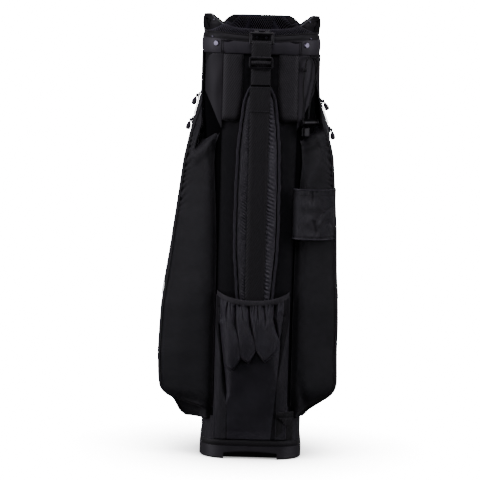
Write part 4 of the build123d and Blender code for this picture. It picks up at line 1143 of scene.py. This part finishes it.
left_seam = np.interp(face_z, [0.044, 0.118, 0.174, 0.233, 0.268], [-0.0445, -0.047, -0.052, -0.059, -0.063])
right_seam = np.interp(face_z, [0.044, 0.167, 0.217, 0.256, 0.290], [0.0415, 0.051, 0.054, 0.055, 0.059])
beside = (face_x < left_seam) | (face_x > right_seam)
# Beside the seams the pouch takes the lighter skirt nylon, and a wedge higher up beside the bulge takes the
# darker trunk nylon as painted shade.
left_shade_wedge = face_x > np.interp(face_z, [0.118, 0.270], [-0.047, -0.0715])
right_shade_wedge = face_x < np.interp(face_z, [0.150, 0.290], [0.050, 0.0715])
pouch.data.materials.append(skirt_nylon)
pouch.data.materials.append(trunk_nylon_painted_shade)
cloth_index = beside * (1 + (left_shade_wedge & right_shade_wedge))
pouch.data.polygons.foreach_set("material_index", cloth_index.ravel().astype(np.int32))
STASH_SEAMS = {"left": [(-0.0435, 0.150), (-0.0445, 0.044)], "right": [(0.0430, 0.176), (0.0415, 0.044)]}
for word, run in STASH_SEAMS.items():
    seam_x, seam_z = np.linspace(*run, 60).T
    rows = np.argmin(np.abs(stash_z[:, 130][None, :] - seam_z[:, None]), axis=1)
    columns = np.argmin(np.abs(stash_x[0][None, :] - seam_x[:, None]), axis=1)
    tube(f"stash_seam_{word}", stash[rows, columns] + [0, -0.0002, 0], 0.0009, thin_nylon)
for word, column in (("left", 2), ("right", -3)):
    tube(f"stash_edge_{word}", stash[::4, column] + [0, -0.0010, 0], 0.0016, thin_nylon)
print("stash pocket", stash.shape)

# %% [markdown]
# ## Mouth elastic
# A flat elastic binds the pouch's mouth and puckers it. A tube would be round, so a flat rounded section is
# carried along the mouth's line, and two waves along it stand for the puckers.

# %% Mouth elastic
line = np.linspace(-1, 1, 220)
mouth = stash_skin(line * STASH_HALF + STASH_MIDDLE, mouth_height(line) + 0.001)
mouth[:, 1] -= 0.0034 * np.clip(1 - np.abs(line) ** 4.5, 0, 1) ** 0.6
ruffle = 1 + 0.05 * np.sin(line * 95) + 0.04 * np.sin(line * 41)
thick, tall = ring_points(full_turn(24)[None, :], (0.0022 * ruffle)[:, None], 0.0056, 3.4)
elastic = mouth[:, None, :] + np.stack([0 * thick, thick, np.broadcast_to(tall, thick.shape)], axis=-1)
grid_piece("mouth_elastic", elastic, elastic_finish, slot="webbing", wrap=True, replaces=("pocket_elastic",))
print("elastic", elastic.shape)

# %% [markdown]
# ## Front pockets
# The side that faces away has three zipped pouches. A bevelled cube would look like a hard case, so each is
# drawn as rings that shrink from the trunk to the front face, with a little slack and piping round the edge.

# %% Front pockets
FRONT_POCKETS = {
    "ball_pocket": (0.197, 0.206, 0.258, 0.190, 0.0173), "cooler_pocket": (0.453, 0.196, 0.216, 0.168, 0.0120),
    "valuables_pocket": (0.659, 0.184, 0.152, 0.150, 0.0082),
}
POUCH_ROOT, FACE_EDGE, FACE_MIDDLE, FACE_RUN = 0.094, 1.9, 5.0, 3.1
DEPTH_SHARES = [0.0, 0.3, 0.6, 0.85, 0.94, 0.985, 1.0, 1.0, 1.0, 1.0, 1.0]
INSETS = [0, 0.3, 0.62, 0.88, 1.1, 1.42, FACE_EDGE, 3.0, 3.8, 4.4, FACE_MIDDLE]
around = full_turn(120)
for name, (middle, width, tall, front, inset) in FRONT_POCKETS.items():
    rings = []
    for share, shrink in zip(DEPTH_SHARES, INSETS):
        cut = inset * min(shrink, FACE_EDGE)
        close = max(0.0, (FACE_MIDDLE - max(shrink, FACE_EDGE)) / FACE_RUN)
        x, z = ring_points(around, max(width / 2 - cut, 0.01), max(tall / 2 - cut, 0.01), 6.0)
        y = np.full(120, POUCH_ROOT + (front - 0.0004 - POUCH_ROOT) * share)
        rings.append(np.stack([x * close, y, z * close + middle], axis=-1))
    rings = np.array(rings)
    slack = folds(rings, 0.08, 61) * 0.0015 * smooth_step(0.99, 0.8, np.array(DEPTH_SHARES))[:, None]
    rings[..., 0] += slack * np.sign(rings[..., 0])
    grid_piece(f"{name}_shell", rings[:, ::-1], shell_fabric, wrap=True, replaces=(name,))
    tube(f"{name}_piping", rings[5] * [1.005, 1, 1], 0.0022, binding_finish, closed=True)
print("front pockets", list(FRONT_POCKETS))

# %% [markdown]
# ## Umbrella sleeve
# A hemmed sleeve of thin nylon stands on the right pocket, open at both ends, to hold an umbrella's shaft. A
# cut cylinder would stand too straight, so its plan is an arc through three points, and listed folds run down
# from the upper hem and crumple the cloth beside the outer seam.

# %% Umbrella sleeve
SLEEVE_LOW, SLEEVE_HIGH = 0.442, 0.541
SLEEVE_ARC = np.array([(0.0705, -0.1115), (0.112, -0.1285), (0.154, -0.078)])


def arc_through(points, count):
    """Plan points along the circle through three given ones."""
    ways = 2 * (points[1:] - points[:-1])
    middle = np.linalg.solve(ways, (points[1:] ** 2 - points[:-1] ** 2).sum(axis=1))
    turns = np.unwrap(np.arctan2(*(points - middle).T[::-1]))
    turn = np.linspace(turns[0], turns[-1], count)
    radius = np.linalg.norm(points[0] - middle)
    return middle + radius * np.column_stack([np.cos(turn), np.sin(turn)])


SLEEVE_FOLDS = [
    (0.0030, 0.0030, [(0.107, 0.538), (0.109, 0.512)]), (0.0050, 0.0020, [(0.094, 0.530), (0.092, 0.470)]),
    (0.0045, 0.0034, [(0.111, 0.476), (0.119, 0.447)]), (0.0040, 0.0034, [(0.150, 0.506), (0.128, 0.494)]),
    (0.0045, 0.0030, [(0.128, 0.494), (0.114, 0.470)]),
    (0.0040, 0.0030, [(0.150, 0.470), (0.138, 0.478), (0.126, 0.466)]),
    (0.0030, 0.0020, [(0.146, 0.528), (0.136, 0.522)]), (0.0030, 0.0016, [(0.084, 0.466), (0.090, 0.446)]),
]
plan = arc_through(SLEEVE_ARC, 90)
z = np.linspace(SLEEVE_LOW, SLEEVE_HIGH, 110)
x, y, z = (np.broadcast_to(part, (110, 90)) for part in (plan[:, 0], plan[:, 1], z[:, None]))
sleeve = np.stack([x, y, z], axis=-1)
hem = smooth_step(0.0, 0.008, z - SLEEVE_LOW) * smooth_step(0.0, 0.008, SLEEVE_HIGH - z)
dent = sum(0.8 * depth * near_line(x, z, run, width, (1, 0.2)) for width, depth, run in SLEEVE_FOLDS)
rumple = 0.0014 * folds(sleeve, 0.028, 77) + 0.0006 * np.sin(x * 900) * (1 - hem)
sleeve[..., 1] += (dent - rumple) * (0.25 + 0.75 * hem) * np.sin(np.linspace(0.05, math.pi - 0.05, 90))
cloth = grid_piece(
    "umbrella_sleeve_cloth", sleeve, sleeve_nylon, slot="lining", thickness=0.0014, replaces=("umbrella_sleeve",)
)
for word, row in (("lower", 1), ("upper", -2)):
    tube(f"sleeve_{word}_hem", sleeve[row] + [0, -0.0006, 0], 0.0013, thin_nylon)
    tube(f"sleeve_{word}_stitch", sleeve[row * 7] + [0, -0.0001, 0], 0.0005, binding_finish)
tube("sleeve_outer_seam", sleeve[:, -3] + [0.0002, -0.0006, 0], 0.0010, binding_finish)
print("sleeve", sleeve.shape)

# %% [markdown]
# ## Bound hem and sewn tab
# A flecked webbing hem binds the trunk's foot. On the right rear corner a folded tab of webbing is sewn over a
# three-cornered patch and a strip that runs down to the hem. Boxes would stand off the curved cloth, so each
# layer is a grid on the pouch's own surface, lifted a little more than the one below.

# %% Hem and tab
angle, share = np.meshgrid(full_turn(160), np.linspace(0, 1, 8))
hem_ring = trunk_ring(0.0264 + 0.0112 * share, angle)
bulge = 0.0012 + 0.0013 * np.sin(math.pi * np.clip(share, 0.05, 0.95)) ** 0.5
hem_ring[..., :2] *= (1 + bulge / 0.1)[..., None]
grid_piece("hem_webbing", hem_ring, webbing_finish, slot="webbing", wrap=True, replaces=("hem_band",))
z, x = upright_grid((0.0390, 0.0965, 30), (0.0505, 0.0835, 16))
strip = stash_skin(x, z, 0.0012)
grid_piece("tab_strip", strip, tab_finish, slot="webbing", thickness=0.0010, replaces=("webbing_tab",))
z, x = upright_grid((0.0840, 0.0970, 10), (0.0500, 0.0840, 16))
top_tab = stash_skin(x, z, 0.0024)
top_tab[..., 1] -= 0.0008 * np.sin(math.pi * (z - 0.0840) / 0.0130)
grid_piece("tab_fold", top_tab, tab_finish, slot="webbing", thickness=0.0012)
PATCH_POINT = 0.0725
share, edge = upright_grid((0, 1, 14), (0, 1, 14))
patch_z = 0.0845 - 0.0195 * share
left, right = 0.0545 + (PATCH_POINT - 0.0545) * share, 0.0838 + (PATCH_POINT - 0.0838) * share
patch = stash_skin(left + (right - left) * edge, patch_z, 0.0022)
grid_piece("tab_patch", patch, webbing_finish, slot="webbing", thickness=0.0008)
print("hem", hem_ring.shape, "tab", strip.shape, top_tab.shape, patch.shape)

# %% [markdown]
# ## Zips
# Each zip is a woven tape with two rows of moulded teeth that mesh down its middle. An Array modifier could
# repeat a tooth, but the zips run in many directions, so small blocks are set left and right by turns along
# each line and built together as one mesh.

# %% Zip tapes and teeth
def side_line(side, low, high, y, shares):
    """Middle, way along, way out, length and slider's place of a zip up the flat run of a side pocket."""
    bottom, top = np.array([side * low[1], y, low[0]]), np.array([side * high[1], y, high[0]])
    along = (top - bottom) / np.linalg.norm(top - bottom)
    outward = np.array([side * along[2], 0, -side * along[0]])
    length = np.linalg.norm(top - bottom) * (shares[1] - shares[0])
    return bottom + (top - bottom) * sum(shares) / 2, along, outward, length, length / 2 - 0.009


def front_line(name, rise):
    """The same for a zip across the face of a front pocket, that far above its middle."""
    middle, width, _, front, _ = FRONT_POCKETS[name]
    place, length = np.array([0, front, middle + rise]), width - 0.070
    return place, np.array([1.0, 0, 0]), np.array([0, 1.0, 0]), length, length / 2 - 0.012


ZIP_LINES = {
    "left_garment_zip": side_line(-1, LEFT_FLAT[4], LEFT_FLAT[5], 0.008, (0.03, 0.998)),
    "left_shoe_zip": side_line(-1, LEFT_FLAT[5], LEFT_FLAT[6], -0.012, (0.06, 0.985)),
    "right_garment_zip": side_line(1, RIGHT_FLAT[4], RIGHT_FLAT[5], 0.008, (0.03, 0.998)),
    "right_shoe_zip": side_line(1, RIGHT_FLAT[5], RIGHT_FLAT[6], -0.012, (0.06, 0.985)),
    "ball_zip": front_line("ball_pocket", 0.072),
    "cooler_zip": front_line("cooler_pocket", 0.066),
    "valuables_zip": front_line("valuables_pocket", 0.038),
}
BLOCK = np.array([(x, y, z) for x in (-1, 1) for y in (-1, 1) for z in (0, 1)], dtype=float)
BLOCK_FACES = [(0, 1, 3, 2), (4, 6, 7, 5), (0, 4, 5, 1), (2, 3, 7, 6), (1, 5, 7, 3), (0, 2, 6, 4)]
TOOTH_PITCH, TOOTH_HALF, TAPE_FACE = 0.0022, (0.0009, 0.0015, 0.0011), 0.0013
TAPE = np.array([
    (-0.009, 0.0003), (-0.0088, TAPE_FACE), (0, TAPE_FACE), (0.0088, TAPE_FACE), (0.009, 0.0003), (0, 0.0003),
])
for name, (middle, along, outward, length, _) in ZIP_LINES.items():
    across = np.cross(outward, along)
    stations = np.linspace(-length / 2, length / 2, 40)
    tape = middle + stations[:, None, None] * along + TAPE[None, :, :1] * across + TAPE[None, :, 1:] * outward
    tape_piece = grid_piece(f"{name}_tape", tape, webbing_finish, slot="webbing", wrap=True)
    if name == "ball_zip":
        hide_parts("zip_tapes")
    vertices, faces = [], []
    for number in range(int(length / TOOTH_PITCH)):
        place = -length / 2 + (number + 0.5) * TOOTH_PITCH
        hand = 1 if number % 2 else -1
        block = BLOCK * TOOTH_HALF + [place, hand * 0.0009, TAPE_FACE]
        faces += [tuple(len(vertices) + i for i in face) for face in BLOCK_FACES]
        vertices += (middle + block[:, :1] * along + block[:, 1:2] * across + block[:, 2:] * outward).tolist()
    mesh = bpy.data.meshes.new(f"{name}_teeth")
    mesh.from_pydata(vertices, [], faces)
    add_piece(f"{name}_teeth", mesh, lock_plastic, "bag")
print("zips", list(ZIP_LINES))

# %% [markdown]
# ## Pull grips
# A ribbed rubber grip slips over every pull and turns with it. It could be one block with grooves cut in, but
# rings of a rounded section whose size goes up and down along the pull give the ribs and the fan shape at once.

# %% Pull grips
BAIL_HEIGHT, PULL_LIFT = 0.0060, math.radians(3)
GRIP = [
    (0.0040, 0.10, 0.0002, 0.0004), (0.0041, 0.70, -0.0014, 0.0026), (0.0066, 1.0, -0.0016, 0.0038),
    (0.0080, 0.96, -0.0030, 0.0044), (0.0100, 1.0, -0.0036, 0.0052), (0.0120, 0.96, -0.0038, 0.0058),
    (0.0145, 1.0, -0.0039, 0.0062), (0.0165, 0.97, -0.0039, 0.0062), (0.0185, 0.98, -0.0038, 0.0058),
    (0.0200, 0.90, -0.0031, 0.0050), (0.0209, 0.70, -0.0018, 0.0036), (0.0212, 0.10, 0.0005, 0.0012),
]
wide, rise = ring_points(full_turn(28), 0.0039, 1.0, 3.0)
for name, (middle, along, outward, _, start) in ZIP_LINES.items():
    across = np.cross(outward, along)
    pin = middle + along * start + outward * BAIL_HEIGHT
    way = -along * math.cos(PULL_LIFT) + outward * math.sin(PULL_LIFT)
    fan_way = np.cross(across, way)
    grip = np.array([
        pin + way * place + (wide * w)[:, None] * across
        + ((low + high + rise * (high - low)) / 2)[:, None] * fan_way
        for place, w, low, high in GRIP
    ])
    grid_piece(f"{name}_grip", grip, pull_rubber, body=f"{name}_pull", slot="pull_rubber", wrap=True)
print("grips", len(GRIP), "rings")

# %% [markdown]
# ## Small sewn pieces
# The adjuster's middle bar is wrapped by the webbing's sewn end, and the umbrella cord starts at a small bound
# eyelet. The solids under them have hard edges, so both are drawn again as rings of points with rounded ones.

# %% Adjuster fold and cord eyelet
bend = np.radians(np.linspace(-105, 105, 25))
wrap_path = np.column_stack([0 * bend, -0.1301 - 0.0030 * np.cos(bend), 0.786 + 0.0032 * np.sin(bend)])
wrap_out = np.column_stack([0 * bend, -np.cos(bend), np.sin(bend)])
band("adjuster_fold", wrap_path, wrap_out, 0.0188, 0.0016, "strap_adjuster", replaces=("buckle_fold",))
z = np.array([0.7702, 0.7703, 0.7710, 0.7725, 0.7741, 0.7757, 0.7770, 0.7777, 0.7778])
shrink = np.array([0.05, 0.80, 0.94, 1.0, 0.94, 1.0, 0.94, 0.80, 0.05])
wide, deep = ring_points(full_turn(32), 0.0045, 0.0080, 4.0)
eyelet = np.stack([
    0.086 + shrink[:, None] * wide, -0.110 + shrink[:, None] * deep, np.broadcast_to(z[:, None], (len(z), 32))
], axis=-1)
grid_piece("eyelet_binding", eyelet, binding_finish, slot="smooth_trim", wrap=True, replaces=("cord_eyelet",))
print("fold", len(wrap_path), "stations, eyelet", eyelet.shape)

# %% [markdown]
# ## Floor and light
# The bag stands on bright white paper. If the paper lit the bag as strongly as it meets the eye, black cloth
# would turn grey, so it glows for the camera and is hidden from bounced light. Near the bag an ambient occlusion
# node dims that glow, a painted shadow on the paper. A single lamp would leave half the bag unseen: broad panels
# from both sides give the long soft highlights, a gentle one from above picks out the rim, and two at the far
# side show the front.

# %% Studio
PAPER_GLOW, PAPER_HALF, WORLD_GLOW = 22.0, 60, 0.06
LAMP_COLOUR = (0.995, 0.957, 1.07)
floor_mesh = bpy.data.meshes.new("floor")
corners = [(x * PAPER_HALF, y * PAPER_HALF, 0) for x, y in ((-1, -1), (1, -1), (1, 1), (-1, 1))]
floor_mesh.from_pydata(corners, [], [(0, 1, 2, 3)])
floor = bpy.data.objects.new("floor", floor_mesh)
paper = Finish("studio paper", Roughness=1.0, Specular_IOR_Level=0.0, Emission_Strength=PAPER_GLOW)
# Ambient occlusion dims the paper's glow near the bag: a painted shadow.
floor_shadow_paint = paper.node("AmbientOcclusion", {"samples": 8}, {"Distance": 0.45}, out=1)
paper.feed(
    Base_Color=paper.blend((0.5, 0.5, 0.5), (0.6, 0.6, 0.6), paper.noise(2.0)),
    Emission_Color=paper.blend((0.02, 0.02, 0.02), (1, 1, 1), floor_shadow_paint * floor_shadow_paint * floor_shadow_paint),
)
floor_mesh.materials.append(paper.material)
bpy.context.collection.objects.link(floor)
floor.visible_diffuse = False
floor.visible_glossy = False

world = bpy.data.worlds.new("studio")
world.use_nodes = True
sky = world.node_tree.nodes["Background"]
sky.inputs["Color"].default_value = (1, 1, 1, 1)
sky.inputs["Strength"].default_value = WORLD_GLOW
bpy.context.scene.world = world


def soft_light(name, place, aim_height, width, height, power):
    """A rectangular lamp that faces the bag's middle line at a height."""
    lamp = bpy.data.lights.new(name, "AREA")
    lamp.shape, lamp.size, lamp.size_y, lamp.energy = "RECTANGLE", width, height, power
    lamp.color = LAMP_COLOUR
    light = bpy.data.objects.new(name, lamp)
    light.location = place
    light.rotation_euler = (Vector((0, 0, aim_height)) - Vector(place)).to_track_quat("-Z", "Y").to_euler()
    bpy.context.collection.objects.link(light)
    return light


LIGHTS = {
    "right_panel": ((2.4, -0.90, 1.2), 0.45, 0.8, 2.0, 46),
    "left_panel": ((-2.4, -0.85, 1.2), 0.45, 0.8, 2.0, 68),
    "top_panel": ((0, -1.3, 2.5), 0.5, 1.2, 0.9, 30),
    "far_panel": ((0, 2.6, 1.6), 0.45, 2.0, 2.0, 24),
    "far_fill": ((0, 2.6, 1.4), 0.45, 2.6, 2.0, 130),
}
lights = {name: soft_light(name, *settings) for name, settings in LIGHTS.items()}
lights["far_fill"].visible_glossy = False
print("studio lights", list(lights))
